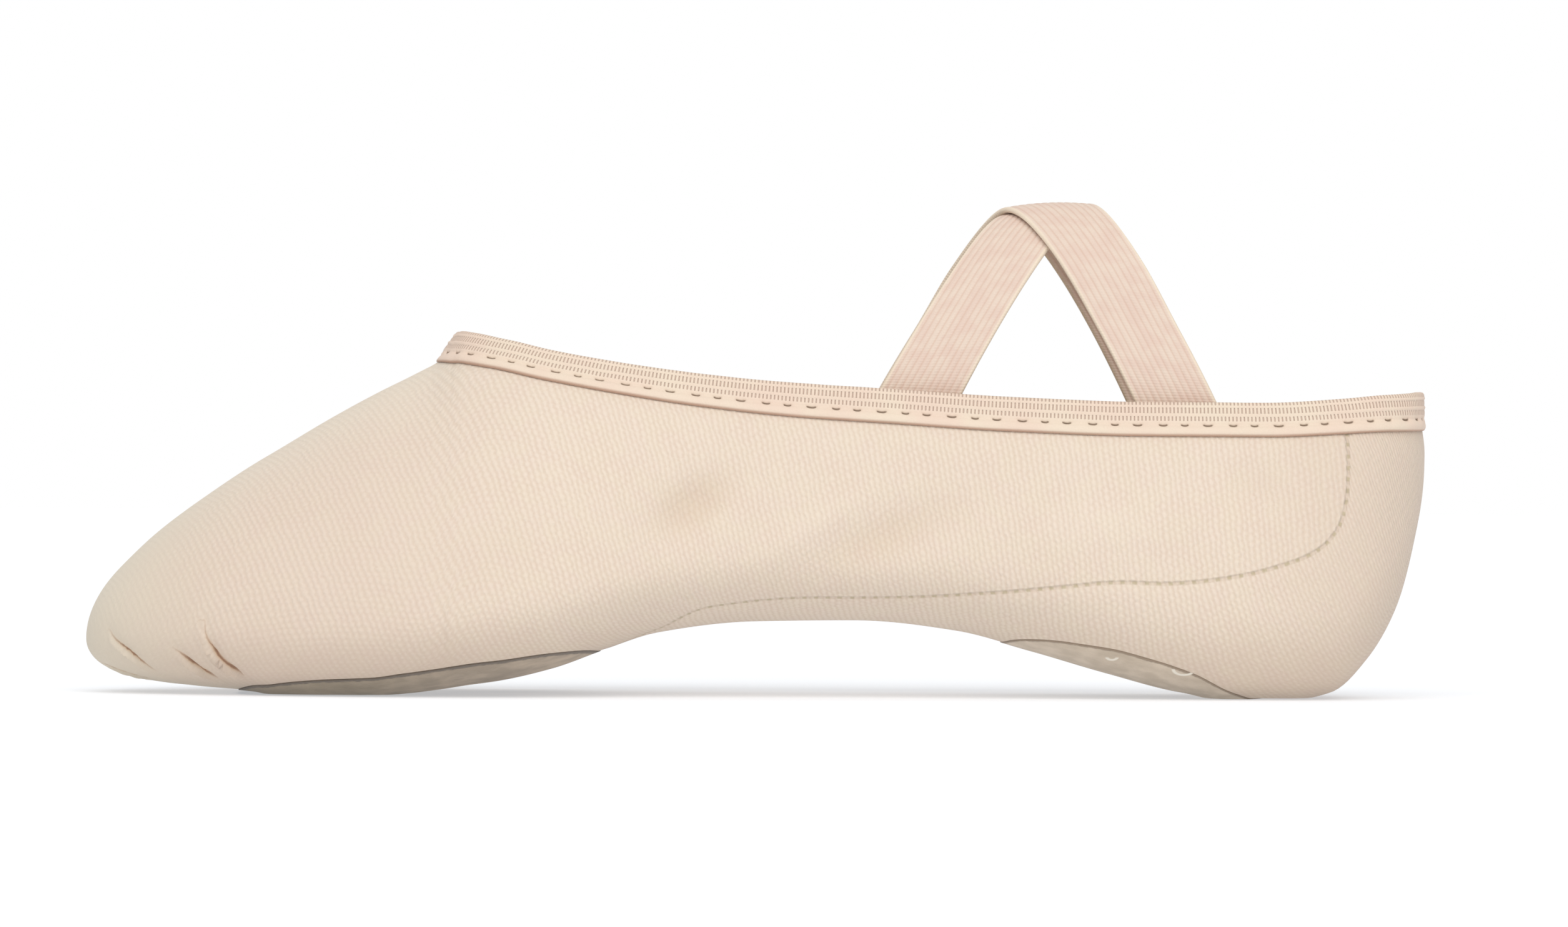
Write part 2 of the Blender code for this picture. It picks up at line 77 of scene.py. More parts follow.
# Canvas upper. A stretch canvas with a thin cotton lining, cut as one vamp with its quarters and one
# heel and arch panel, joined by a flat seam. It is lasted wet, so it keeps the form of the last, and
# it is gathered under the toe into a few sewn pleats. The edge is bound, the sole is left open.
LENGTH = 0.240
BALL_WIDTH = 0.076
INSTEP_HEIGHT = 0.0642
HEEL_HEIGHT = 0.0537
ARCH_RISE = 0.0135
WALL = 0.0012
TUCK = 0.0011
TUCK_DEPTH = 0.010
CLEAR = 0.00032
SUEDE_PROUD = 0.00015
THROAT = 0.2729
SOLE_SQUARENESS = 2.5
LIP_FADE = 6
SECTIONS = [
    # place   base    arch   widest  crest   lip     width  pinch
    (0.0000,  0.148,  0.00,  0.148,  0.148,  0.000,  0.000, 0.00),
    (0.0142,  0.073,  0.00,  0.180,  0.298,  0.000,  0.320, 0.00),
    (0.0329,  0.047,  0.00,  0.196,  0.377,  0.000,  0.470, 0.00),
    (0.0513,  0.033,  0.00,  0.202,  0.442,  0.000,  0.570, 0.02),
    (0.0888,  0.017,  0.00,  0.208,  0.548,  0.000,  0.722, 0.05),
    (0.1260,  0.006,  0.00,  0.214,  0.642,  0.000,  0.828, 0.10),
    (0.1450, -0.006,  0.00,  0.218,  0.685,  0.000,  0.870, 0.13),
    (0.1820, -0.008,  0.00,  0.226,  0.768,  0.000,  0.932, 0.18),
    (0.2200, -0.006,  0.00,  0.236,  0.845,  0.000,  0.975, 0.23),
    (0.2440,  0.000,  0.02,  0.246,  0.890,  0.000,  0.990, 0.26),
    (0.2575,  0.000,  0.05,  0.254,  0.918,  0.004,  0.995, 0.27),
    (0.2729,  0.000,  0.09,  0.264,  0.954,  0.046,  0.999, 0.28),
    (0.2830,  0.000,  0.12,  0.271,  0.981,  0.085,  1.000, 0.28),
    (0.3100,  0.000,  0.19,  0.292,  1.055,  0.130,  0.994, 0.27),
    (0.3500,  0.000,  0.36,  0.335,  1.150,  0.120,  0.965, 0.24),
    (0.3900,  0.000,  0.62,  0.385,  1.220,  0.080,  0.915, 0.20),
    (0.4250,  0.000,  0.82,  0.430,  1.262,  0.040,  0.860, 0.15),
    (0.5000,  0.000,  0.98,  0.494,  1.310,  0.000,  0.780, 0.08),
    (0.5750,  0.000,  1.00,  0.515,  1.330,  0.000,  0.742, 0.03),
    (0.6500,  0.000,  0.87,  0.510,  1.335,  0.000,  0.738, 0.00),
    (0.7050,  0.000,  0.62,  0.480,  1.340,  0.000,  0.745, 0.00),
    (0.7620,  0.000,  0.33,  0.435,  1.340,  0.000,  0.757, 0.00),
    (0.8180,  0.000,  0.08,  0.398,  1.340,  0.000,  0.763, 0.00),
    (0.8550, -0.012,  0.00,  0.390,  1.335,  0.000,  0.757, 0.00),
    (0.8950, -0.010,  0.00,  0.400,  1.325,  0.000,  0.728, 0.00),
    (0.9300,  0.020,  0.00,  0.430,  1.318,  0.000,  0.665, 0.00),
    (0.9560,  0.128,  0.00,  0.490,  1.312,  0.000,  0.580, 0.00),
    (0.9780,  0.300,  0.00,  0.600,  1.308,  0.000,  0.440, 0.00),
    (0.9930,  0.550,  0.00,  0.745,  1.304,  0.000,  0.265, 0.00),
    (1.0000,  0.800,  0.00,  0.900,  1.300,  0.000,  0.000, 0.00),
]
PLACE, BASE, ARCH, WIDEST, CREST, LIP, WIDTH, PINCH = range(8)
COLLAR_LINE = [
    # place   share
    (0.0000,  1.000),
    (0.2729,  1.000),
    (0.3130,  0.860),
    (0.3500,  0.667),
    (0.4070,  0.438),
    (0.4630,  0.267),
    (0.5190,  0.143),
    (0.5930,  0.038),
    (0.6880, -0.095),
    (0.7790, -0.165),
    (0.8750, -0.170),
    (0.9300, -0.105),
    (0.9670, -0.040),
    (1.0000,  0.000),
]
VAMP_ROWS = 124
QUARTER_ROWS = 142
COLUMNS = 160
EDGE_CROWDING = 1.2
EDGE_STEPS = 400
JOIN = 0.005 * MM          # vertices this close to each other become one


def through(table, column, share):
    """A smooth line through one column of a table, without overshoot between its rows."""
    knots = np.arccos(1 - 2 * np.array([row[PLACE] for row in table])) / math.pi
    values = np.array([row[column] for row in table])
    steps = np.diff(knots)
    slopes = np.diff(values) / steps
    tangents = np.concatenate([slopes[:1], np.zeros(len(slopes) - 1), slopes[-1:]])
    for k in range(1, len(slopes)):
        if slopes[k - 1] * slopes[k] > 0:
            near = 2 * steps[k] + steps[k - 1]
            far = steps[k] + 2 * steps[k - 1]
            tangents[k] = (near + far) / (near / slopes[k - 1] + far / slopes[k])
    at = np.arccos(1 - 2 * np.clip(share, 0, 1)) / math.pi
    k = np.clip(np.searchsorted(knots, at) - 1, 0, len(steps) - 1)
    t = (at - knots[k]) / steps[k]
    start = values[k] + (values[k + 1] - values[k]) * t * t * (3 - 2 * t)
    bend = tangents[k] * t * (1 - t) ** 2 - tangents[k + 1] * t * t * (1 - t)
    return start + bend * steps[k]


def along(place):
    """X of a place given as a share of the slipper's length."""
    return (place - 0.5) * LENGTH


def place_of(x):
    return x / LENGTH + 0.5


def collar_height(place):
    return HEEL_HEIGHT + (INSTEP_HEIGHT - HEEL_HEIGHT) * through(COLLAR_LINE, 1, place)


def last_at(place):
    """Height of the underside, height of the widest line and half width of the last."""
    line = collar_height(place)
    under = through(SECTIONS, BASE, place) * line + through(SECTIONS, ARCH, place) * ARCH_RISE
    widest = through(SECTIONS, WIDEST, place) * line
    return under, widest, through(SECTIONS, WIDTH, place) * BALL_WIDTH / 2


def section_curve(place):
    """One side of a whole section from the crest to the middle of the underside, as (y, z) arrays, and
    where on them the collar's line cuts it, as a share."""
    under, widest, half = last_at(place)
    line = collar_height(place)
    rise = through(SECTIONS, CREST, place) * line - widest
    lip = through(SECTIONS, LIP, place) * line
    theta = np.linspace(0, math.pi, 361)
    c, s = np.cos(theta), np.abs(np.sin(theta))
    power = 2 / SOLE_SQUARENESS
    y = half * np.where(c > 0, s * (1 - through(SECTIONS, PINCH, place) * c * c), s ** power)
    z = widest + np.where(c > 0, rise * c + lip * c ** LIP_FADE, (under - widest) * np.abs(c) ** power)
    return y, z, np.interp(-line, -z, np.linspace(0, 1, len(z))) if place > THROAT else 0.0


def run_of(points):
    """Distance along a line from its first point to each of its points."""
    return np.concatenate([[0], np.cumsum(np.linalg.norm(np.diff(points, axis=0), axis=1))])


def points_at(points, at):
    """Points of a line at distances along it."""
    run = run_of(points)
    return np.column_stack([np.interp(at, run, column) for column in points.T])


def above_edge(place):
    """How much of the section's girth, from the crest down, the collar has cut away."""
    y, z, cut = section_curve(place)
    run = run_of(np.column_stack([y, z]))
    return np.interp(cut, np.linspace(0, 1, len(run)), run)


def section(place, count):
    """One side of a section from the canvas edge to the middle of the underside, as (y, z, distance)."""
    y, z, cut = section_curve(place)
    if place > THROAT:
        share = np.linspace(0, 1, len(z))
        y = np.concatenate([[np.interp(cut, share, y)], y[share > cut]])
        z = np.concatenate([[collar_height(place)], z[share > cut]])
    line = np.column_stack([y, np.maximum(z, SUEDE_PROUD)])
    at = run_of(line)[-1] * np.linspace(0, 1, count + 1) ** EDGE_CROWDING
    return np.column_stack([points_at(line, at), at])


def underside(x, y):
    """Height of the last's underside, before the canvas is flattened by the floor."""
    under, widest, half = last_at(place_of(x))
    reach = np.minimum(np.abs(y) / np.maximum(half, 1e-6), 1)
    return widest - (widest - under) * (1 - reach ** SOLE_SQUARENESS) ** (1 / SOLE_SQUARENESS)


def flank(x, z):
    """The near side's point at one x and height, on the unwrinkled last."""
    y, heights, _ = section(place_of(x), 200).T
    return (x, -float(np.interp(-z, -heights, y)), z)


def curve(points, step):
    """Points a step apart on a smooth line through a few points."""
    given = np.array(points, float)
    ends = np.vstack([2 * given[0] - given[1], given, 2 * given[-1] - given[-2]])
    fine = [given[0]]
    for a, b, c, d in zip(ends, ends[1:], ends[2:], ends[3:]):
        for t in np.linspace(0, 1, 17)[1:]:
            fine.append(0.5 * (2 * b + (c - a) * t + (2 * a - 5 * b + 4 * c - d) * t ** 2
                               + (3 * b - a - 3 * c + d) * t ** 3))
    fine = np.array(fine)
    length = run_of(fine)[-1]
    return points_at(fine, np.linspace(0, length, int(length / step) + 2))


def grid_of(rows, columns):
    """A flat grid of faces as a bmesh, and the row and the column of each of its vertices."""
    bm = bmesh.new()
    bmesh.ops.create_grid(bm, x_segments=rows, y_segments=columns, size=0.5)
    bm.verts.index_update()
    flat = np.array([vert.co[:2] for vert in bm.verts])
    row, column = np.round((flat + 0.5) * (rows, columns)).astype(int).T
    return bm, row, column


def lay_uv(bm, name, values):
    """A UV map from the pair of values of each vertex."""
    layer = bm.loops.layers.uv.new(name)
    for face in bm.faces:
        for loop in face.loops:
            loop[layer].uv = values[loop.vert.index]


def move_to(bm, spots):
    for vert, spot in zip(bm.verts, spots):
        vert.co = spot


def close_up(bm, distance):
    """Joins the vertices that meet and turns the faces outwards."""
    bmesh.ops.remove_doubles(bm, verts=bm.verts, dist=distance)
    bmesh.ops.recalc_face_normals(bm, faces=bm.faces)


def tree_of(points):
    tree = KDTree(len(points))
    for k, point in enumerate(points):
        tree.insert(point, k)
    tree.balance()
    return tree


def mesh_arrays(bm):
    """Places and normals of a bmesh's vertices as two arrays."""
    bm.normal_update()
    spots = np.array([vert.co for vert in bm.verts])
    facing = np.array([vert.normal for vert in bm.verts])
    return spots, facing


def smooth_step(low, high, value):
    t = np.clip((value - low) / (high - low), 0, 1)
    return t * t * (3 - 2 * t)


def cosine_places(start, end, rows):
    return start + (end - start) * (1 - np.cos(math.pi * np.arange(rows + 1) / rows)) / 2


def canvas_places():
    """Places of the canvas's rows, close together at the toe, where the pleats are, and at the heel."""
    vamp = THROAT * (1 - np.cos(math.pi / 2 * np.arange(VAMP_ROWS) / VAMP_ROWS))
    even = np.arange(QUARTER_ROWS + 1) / QUARTER_ROWS
    return np.concatenate([vamp, THROAT + (1 - THROAT) * np.sin(math.pi / 2 * even ** 1.15)])


def collar_edge(steps):
    """The near side's canvas edge from the throat to the heel, before the elastic pulls it in."""
    spots = []
    for place in cosine_places(THROAT, 1, steps):
        y, z, _ = section(place, 2)[0]
        spots.append((along(place), -y, z))
    return np.array(spots)


def pulled_in(distance):
    """How far the elastic draws the canvas in at a distance from its edge."""
    return TUCK * smooth_step(TUCK_DEPTH, 0, distance)


# The seam of the heel and arch panel on the near side, from the binding down the heel and forward to
# the middle of the waist, as (x, z) on the flank and then as (x, y) under the foot, in mm.
SEAM_FLANK = [(104.9, 47.5), (105.0, 41.0), (104.6, 35.7), (103.2, 30.9), (99.6, 26.9), (93.4, 24.2),
              (84.6, 22.0), (74.0, 20.8), (63.5, 20.9), (53.9, 20.0), (42.4, 18.9), (32.0, 18.2),
              (18.8, 17.8), (5.5, 17.5), (-3.2, 16.7), (-11.0, 15.2)]
SEAM_SOLE = [(-17.0, -15.5), (-21.0, -9.5), (-25.0, -4.5)]
SEAM_STEP = 0.25 * MM
seam_points = [flank(x * MM, z * MM) for x, z in SEAM_FLANK]
seam_points += [(x * MM, y * MM, float(underside(x * MM, y * MM))) for x, y in SEAM_SOLE]
seam = curve(seam_points, SEAM_STEP)
SEAM_LENGTH = len(seam) * SEAM_STEP
SEAM_STITCH = 2.1 * MM

# Toe pleats on the near side, from the flank round under the toe to the suede's front, as (x, y) in
# mm. The shares are where each one's sharp slit starts and ends, and the last number is its depth.
PLEATS = [
    ([(-118.6, -4.5), (-115.5, -6.5), (-109.0, -7.0), (-100.5, -4.5)], 0.20, 0.55, 0.45),
    ([(-116.3, -12.5), (-114.4, -15.2), (-111.4, -17.0), (-108.5, -16.7), (-104.0, -14.5),
      (-98.0, -10.8)], 0.20, 0.44, 0.70),
    ([(-104.6, -23.4), (-102.9, -23.9), (-101.0, -23.7), (-98.4, -21.9), (-95.8, -19.6),
      (-92.8, -16.4)], 0.22, 0.66, 0.80),
    ([(-97.4, -28.4), (-96.8, -28.1), (-95.8, -27.7), (-94.4, -26.4), (-91.1, -23.5),
      (-88.1, -20.4)], 0.08, 0.64, 0.95),
]
FAR_SHIFT = (1.4, -0.6)    # the far side's pleats lie this far back and in, in mm
PLEAT_STEP = 0.2 * MM
PLEAT_REACH = 6 * MM

# Soft hollows and swells of the quarters: (x, z), half length, half width in mm, tilt in degrees and
# height in mm, below zero for a hollow.
HOLLOWS = [
    (-10.6, 34.6, 8.0, 4.6, 35, -1.80),
    (23.0, 29.0, 17.0, 5.0, 22, -1.25),
    (10.0, 30.0, 13.0, 3.6, 30, 0.60),
    (88.3, 38.6, 8.0, 5.0, -20, -0.80),
    (60.0, 31.0, 16.0, 5.5, 8, 0.45),
    (-45.0, 26.0, 18.0, 8.0, 20, -0.60),
]
SWELL = 0.10               # uneven lie of the cloth, in mm
SWELL_SIZE = 24            # and its size, in mm


def hollow_height(spots):
    """Height in metres of the quarters' hollows and of the cloth's uneven lie."""
    total = np.zeros(len(spots))
    for x, z, half_length, half_width, tilt, height in HOLLOWS:
        a, b = spots[:, 0] / MM - x, spots[:, 2] / MM - z
        cos, sin = math.cos(math.radians(tilt)), math.sin(math.radians(tilt))
        u, v = (a * cos + b * sin) / half_length, (b * cos - a * sin) / half_width
        total += height * np.exp(-u * u - v * v)
    waves = np.array([noise.noise(Vector(spot) / (SWELL_SIZE * MM)) for spot in spots])
    return (total + SWELL * waves) * MM * smooth_step(3 * MM, 14 * MM, spots[:, 2])


def beside(line, spots, facing):
    """For each spot: nearest point of a line on the surface, signed distance to its left side."""
    tree = tree_of(line)
    found = [tree.find(spot) for spot in spots]
    nearest = np.array([hit[1] for hit in found])
    ahead = np.gradient(line, axis=0)
    ahead /= np.linalg.norm(ahead, axis=1)[:, None]
    across = np.cross(facing, ahead[nearest])
    across /= np.maximum(np.linalg.norm(across, axis=1), 1e-9)[:, None]
    gap = spots - line[nearest]
    flat = gap - facing * np.sum(gap * facing, axis=1)[:, None]
    size = np.linalg.norm(flat, axis=1)
    return nearest / (len(line) - 1), np.where(np.sum(gap * across, axis=1) < 0, -size, size)


def shape_canvas():
    """The canvas's outer face with its pleats, seam and hollows, as an open bmesh, and for each of its
    vertices the distances to the seam and to the nearest pleat."""
    places = canvas_places()
    rows = np.array([section(place, COLUMNS // 2) for place in places])
    x_rows = along(places)
    hidden = np.array([above_edge(place) for place in places]) / MM
    # Cloth counted along the foot follows the outline seen from above, so that it doesn't stretch there.
    outline_run = run_of(np.column_stack([x_rows, rows[:, :, 0].max(1)]))
    cloth_run = (outline_run - np.interp(0, x_rows, outline_run)) / MM
    lean = np.radians(np.interp(x_rows / MM, LEAN_AT, LEAN))
    panel_lean = np.radians(np.interp(x_rows / MM, LEAN_AT, PANEL_LEAN))
    bm, row, column = grid_of(len(places) - 1, COLUMNS)
    y, z, down = rows[row, np.minimum(column, COLUMNS - column)].T
    spots = np.column_stack([x_rows[row], np.where(column < COLUMNS // 2, -y, y), z])
    girth = down / MM + hidden[row]
    weave = bm.loops.layers.uv.new("weave")
    seam_x, seam_z = seam[::-1, 0], seam[::-1, 2]
    for face in bm.faces:
        side = -1 if face.calc_center_median().y < 0 else 1
        x, _, z = np.mean([spots[vert.index] for vert in face.verts], axis=0)
        in_panel = x > seam_x[-1] or (x > seam_x[0] and z < np.interp(x, seam_x, seam_z))
        tilt, pivot = (panel_lean, side * PANEL_MIDDLE) if in_panel else (lean, 0)
        for loop in face.loops:
            k = loop.vert.index
            v = side * girth[k]
            loop[weave].uv = (cloth_run[row[k]] + math.tan(tilt[row[k]]) * (v - pivot), v)
    move_to(bm, spots)
    close_up(bm, JOIN)
    spots, facing = mesh_arrays(bm)
    mirrored = spots * [1, -1, 1] * (spots[:, 1:2] > 0) + spots * (spots[:, 1:2] <= 0)
    mirrored_facing = facing * [1, -1, 1] * (spots[:, 1:2] > 0) + facing * (spots[:, 1:2] <= 0)
    edge = tree_of(collar_edge(EDGE_STEPS))
    height = -pulled_in(np.array([edge.find(spot)[2] for spot in mirrored]))
    lie = hollow_height(spots)
    height += lie
    seam_run, seam_gap = beside(seam, mirrored, mirrored_facing)
    height -= 0.12 * MM * np.exp(-(seam_gap / (0.7 * MM)) ** 2)
    height += 0.07 * MM * smooth_step(0, 1.5 * MM, seam_gap) * smooth_step(6 * MM, 2 * MM, seam_gap)
    pleat_gap = np.full(len(spots), 9.0)
    pleat_slit = np.zeros(len(spots))
    for points, slit_start, slit_end, depth in PLEATS:
        for side, shift in ((-1, (0, 0)), (1, FAR_SHIFT)):
            near = (spots[:, 1] * side > -2 * MM) & (spots[:, 0] < -80 * MM) & (spots[:, 2] < 18 * MM)
            index = np.flatnonzero(near)
            plan = curve([((x + shift[0]) * MM, (y + shift[1]) * MM) for x, y in points], PLEAT_STEP)
            line = np.column_stack([plan, underside(plan[:, 0], plan[:, 1])])
            flip = np.array([1, -side, 1])
            share, gap = beside(line, spots[index] * flip, facing[index] * flip)
            reach = np.abs(gap) < PLEAT_REACH
            index, share, gap = index[reach], share[reach], gap[reach] / MM
            slit = smooth_step(slit_start - 0.14, slit_start + 0.14, share)
            slit *= smooth_step(slit_end + 0.16, slit_end - 0.12, share)
            soft = smooth_step(0, 0.22, share) * smooth_step(1.0, 0.80, share)
            fall = -np.exp(-np.maximum(gap, 0) / 1.0)
            climb = -np.exp(-(np.minimum(gap, 0) / 0.45) ** 2)
            lip = 0.75 * np.exp(-((gap + 1.05) / 0.55) ** 2)
            trough = -np.exp(-(gap / 1.1) ** 2) + 0.5 * np.exp(-((gap + 2.0) / 1.3) ** 2)
            sharp = slit * np.where(gap > 0, fall, climb + lip)
            height[index] += depth * MM * (sharp + 0.22 * soft * trough)
            line_width = slit * smooth_step(1.6, 0.9, np.abs(gap))
            closer = line_width > pleat_slit[index]
            pleat_gap[index[closer]] = gap[closer]
            pleat_slit[index[closer]] = line_width[closer]
    spots = spots + facing * height[:, None]
    spots[:, 2] = np.maximum(spots[:, 2], OFF_FLOOR)
    move_to(bm, spots)
    near_seam = smooth_step(3.5 * MM, 2.5 * MM, np.abs(seam_gap))
    return bm, {"seam_mm": seam_gap / MM, "near_seam": near_seam, "seam_run": seam_run,
                "pleat_mm": pleat_gap, "pleat_slit": pleat_slit, "lie_mm": lie / MM}


# How far the wales lean from upright on the flank, in degrees, toe to heel, for the vamp with its
# quarters and for the heel panel, whose cloth turns round the heel.
LEAN_AT = [-120, -60, -20, 20, 70, 95, 120]
LEAN = [20, 18, 16, 12, 7, 5, 5]
PANEL_LEAN = [5, 5, 5, 5, 8, 24, 36]
PANEL_MIDDLE = 72          # the heel panel's middle, counted down from the crest in mm
OFF_FLOOR = 0.05 * MM      # the canvas stays this far above the floor


def linear(text):
    """Linear colour of an sRGB hex value."""
    parts = [int(text[k:k + 2], 16) / 255 for k in (0, 2, 4)]
    return (*[c / 12.92 if c <= 0.04045 else ((c + 0.055) / 1.055) ** 2.4 for c in parts], 1)


# Kinds of node: each one's type, the inputs that a call fills in turn, the output that it gives and its
# fixed settings. Any other kind is a Math operation.
KINDS = {
    "ease": ("ShaderNodeMapRange", (0, 1, 2, 3, 4), 0, {"interpolation_type": "SMOOTHSTEP"}),
    "blend": ("ShaderNodeMix", (0, 6, 7), 2, {"data_type": "RGBA"}),
    "noise": ("ShaderNodeTexNoise", ("Vector", "Scale", "Detail"), 0, {}),
    "bump": ("ShaderNodeBump", ("Height", "Distance", "Strength"), 0, {}),
    "vector": ("ShaderNodeVectorMath", (0, 1, 2), 0, {}),
    "length": ("ShaderNodeVectorMath", (0,), "Value", {"operation": "LENGTH"}),
    "axes": ("ShaderNodeSeparateXYZ", (0,), 0, {}),
    "uv": ("ShaderNodeUVMap", (), 0, {}),
    "spot": ("ShaderNodeTexCoord", (), "Object", {}),
    "mark": ("ShaderNodeAttribute", (), "Fac", {}),
    "background": ("ShaderNodeBackground", ("Color", "Strength"), 0, {}),
    "seen": ("ShaderNodeLightPath", (), "Is Camera Ray", {}),
    "either": ("ShaderNodeMixShader", (0, 1, 2), 0, {}),
}


def add_node(tree, kind, *values, **settings):
    """Adds a node with its settings and its inputs, which are values, hex colours or the sockets that
    feed them, and gives its output."""
    math_node = ("ShaderNodeMath", (0, 1, 2), 0, {"operation": kind})
    node_type, sockets, output, fixed = KINDS.get(kind, math_node)
    made = tree.nodes.new(node_type)
    for name, value in {**fixed, **settings}.items():
        setattr(made, name, value)
    for socket, value in zip(sockets, values):
        if isinstance(value, bpy.types.NodeSocket):
            tree.links.new(value, made.inputs[socket])
        else:
            made.inputs[socket].default_value = linear(value) if isinstance(value, str) else value
    return made.outputs[output]


def finish_of(name, **sockets):
    """A new material with constant values on its shader's sockets, and add_node for its tree."""
    made = bpy.data.materials.new(name)
    made.use_nodes = True
    shader = made.node_tree.nodes["Principled BSDF"]
    for socket, value in sockets.items():
        shader.inputs[socket.replace("_", " ")].default_value = value
    return made, partial(add_node, made.node_tree)


def finished(made, colour, height, relief, strength):
    """The material with its colour linked, and with a bump whose height of 1 stands for relief."""
    tree = made.node_tree
    shader = tree.nodes["Principled BSDF"]
    tree.links.new(colour, shader.inputs["Base Color"])
    tree.links.new(add_node(tree, "bump", height, relief, strength), shader.inputs["Normal"])
    return made


def cloth_height(add, u, v, wale, course, stagger):
    """Height from 0 to 1 of cloth whose wales are wale mm apart, with nubs course mm apart on them."""
    ridge = add("COSINE", add("MULTIPLY", u, 2 * math.pi / wale))
    beside_ridge = add("COSINE", add("MULTIPLY", u, math.pi / wale))
    nub = add("COSINE", add("MULTIPLY", v, 2 * math.pi / course))
    lattice = add("MULTIPLY", beside_ridge, nub)
    both = add("ADD", add("MULTIPLY", ridge, 0.5 - stagger / 2), add("MULTIPLY", lattice, stagger / 2))
    return add("ADD", both, 0.5)


def uneven_uv(add, name, size, amount):
    """The two coordinates of a UV map in mm, pushed about by noise of that size and amount in mm."""
    uv = add("uv", uv_map=name)
    push = add("noise", uv, 1 / size, 3.0).node.outputs["Color"]
    centred = add("vector", push, (0.5, 0.5, 0.5), operation="SUBTRACT")
    moved = add("vector", centred, (amount, amount, 0), uv, operation="MULTIPLY_ADD")
    u, v, _ = add("axes", moved).node.outputs
    return uv, u, v


def make_canvas_finish():
    """Stretch canvas: brushed cotton ribs whose small nubs catch the light, no gloss."""
    made, add = finish_of("stretch canvas", Roughness=0.92, IOR=1.45, Specular_IOR_Level=0.25,
                          Sheen_Weight=0.12, Sheen_Roughness=0.6)
    # Wales 1.07 mm and nubs 1.35 mm apart, worn in patches of 9 mm. The fuzz's fibres are far too fine
    # to show, so it is drawn 0.6 mm wide.
    uv, u, v = uneven_uv(add, "weave", 3.2, 1.1)
    woven = cloth_height(add, u, v, 1.07, 1.35, 0.46)
    patchy = add("noise", uv, 1 / 9.09, 2.0)
    x, y, z = add("axes", add("spot")).node.outputs
    rubbed = add("MULTIPLY", add("ease", x, -0.112, -0.085, 0.35, 1.0),
                 add("ease", z, 0.004, 0.018, 0.45, 1.0))
    showing = add("MULTIPLY", add("ease", patchy, 0.30, 0.62, 0.75, 1.0), rubbed)
    fuzz = add("noise", uv, 1 / 0.588, 4.0)
    woven_shown = add("MULTIPLY", woven, showing)
    height = add("MULTIPLY_ADD", fuzz, 0.55, woven_shown)
    mottle = add("ease", add("noise", uv, 1 / 4.545, 3.0), 0.35, 0.65)
    ground = add("blend", mottle, "DFCFBF", "DFD0BE")
    dark = add("blend", mottle, "D0BBA8", "D0BDA8")
    tone = add("MULTIPLY_ADD", fuzz, 0.35, add("MULTIPLY_ADD", woven_shown, 0.7, 0.10))
    cloth = add("blend", add("ease", tone, 0.12, 0.80), dark, ground)
    # The vamp and the heel are painted darker as shade, and the crest of the vamp towards the tip is
    # painted a paler grey as light.
    cloth = add("blend", add("ease", x, -0.030, -0.075, 0.0, 0.35), cloth, "CBB7A8")
    crest = add("MULTIPLY", add("ease", add("ABSOLUTE", y), 0.026, 0.002),
                add("ease", x, -0.020, -0.065, 0.0, 0.45))
    cloth = add("blend", crest, cloth, "DFD8C6")
    cloth = add("blend", add("ease", x, 0.080, 0.115, 0.0, 0.32), cloth, "C6B19F")
    # The quarters' hollows are painted darker as shade and their swells paler as highlight.
    lie = add("mark", attribute_name="lie_mm")
    cloth = add("blend", add("ease", lie, -0.10, -1.90, 0.0, 0.30), cloth, "C2AA90")
    cloth = add("blend", add("ease", lie, 0.10, 0.60, 0.0, 0.12), cloth, "ECDFCE")
    # The toe is painted darker and greyer as shade, a little less of it near the floor.
    darkened_toe = add("MULTIPLY", add("ease", x, -0.088, -0.120, 0.0, 0.55),
               add("ease", z, 0.0, 0.012, 0.7, 1.0))
    cloth = add("blend", darkened_toe, cloth, "D3CAB7")
    # The seam is a soft groove of 1 mm with a row of olive stitches in it.
    seam_gap = add("ABSOLUTE", add("mark", attribute_name="seam_mm"))
    in_seam = add("MULTIPLY", add("ease", seam_gap, 0.55, 0.05), add("mark", attribute_name="near_seam"))
    cloth = add("blend", add("MULTIPLY", in_seam, 0.26), cloth, "B7A08A")
    stitches = round(SEAM_LENGTH / SEAM_STITCH)
    seam_run = add("mark", attribute_name="seam_run")
    thread = add("COSINE", add("MULTIPLY", seam_run, 2 * math.pi * stitches))
    in_stitch = add("MULTIPLY", in_seam, add("ease", thread, 0.0, 0.8, 0.0, 0.55))
    cloth = add("blend", in_stitch, cloth, "A89C76")
    # Each pleat's slit is painted as shade: a dark line 0.5 mm wide in a golden band of painted shade 1
    # mm wide.
    slit_gap = add("ABSOLUTE", add("mark", attribute_name="pleat_mm"))
    slit = add("mark", attribute_name="pleat_slit")
    in_shade = add("MULTIPLY", add("ease", slit_gap, 0.50, 0.10), slit)
    in_slit = add("MULTIPLY", add("ease", slit_gap, 0.26, 0.05), slit)
    cloth = add("blend", add("MULTIPLY", in_shade, 0.55), cloth, "C29A6C")
    cloth = add("blend", add("MULTIPLY", in_slit, 0.75), cloth, "7F5540")
    return finished(made, cloth, add("MULTIPLY_ADD", in_seam, -1.2, height), 0.16 * MM, 0.9)


def make_lining_finish():
    """Thin cotton lining: a plain weave, paler and flatter than the canvas. Its threads are too fine to
    show, so they are drawn 0.7 mm apart."""
    made, add = finish_of("cotton lining", Roughness=0.95, IOR=1.45, Specular_IOR_Level=0.2)
    uv, u, v = uneven_uv(add, "weave", 4.0, 0.5)
    woven = cloth_height(add, u, v, 0.7, 0.7, 1.0)
    soil = add("noise", uv, 1 / 11.11, 4.0)
    base = add("blend", add("ease", soil, 0.3, 0.7), "E6D8C8", "F0E5D8")
    cloth = add("blend", add("ease", woven, 0.0, 1.0, 0.25, 0.0), base, "C9B7A4")
    return finished(made, cloth, woven, 0.08 * MM, 0.7)


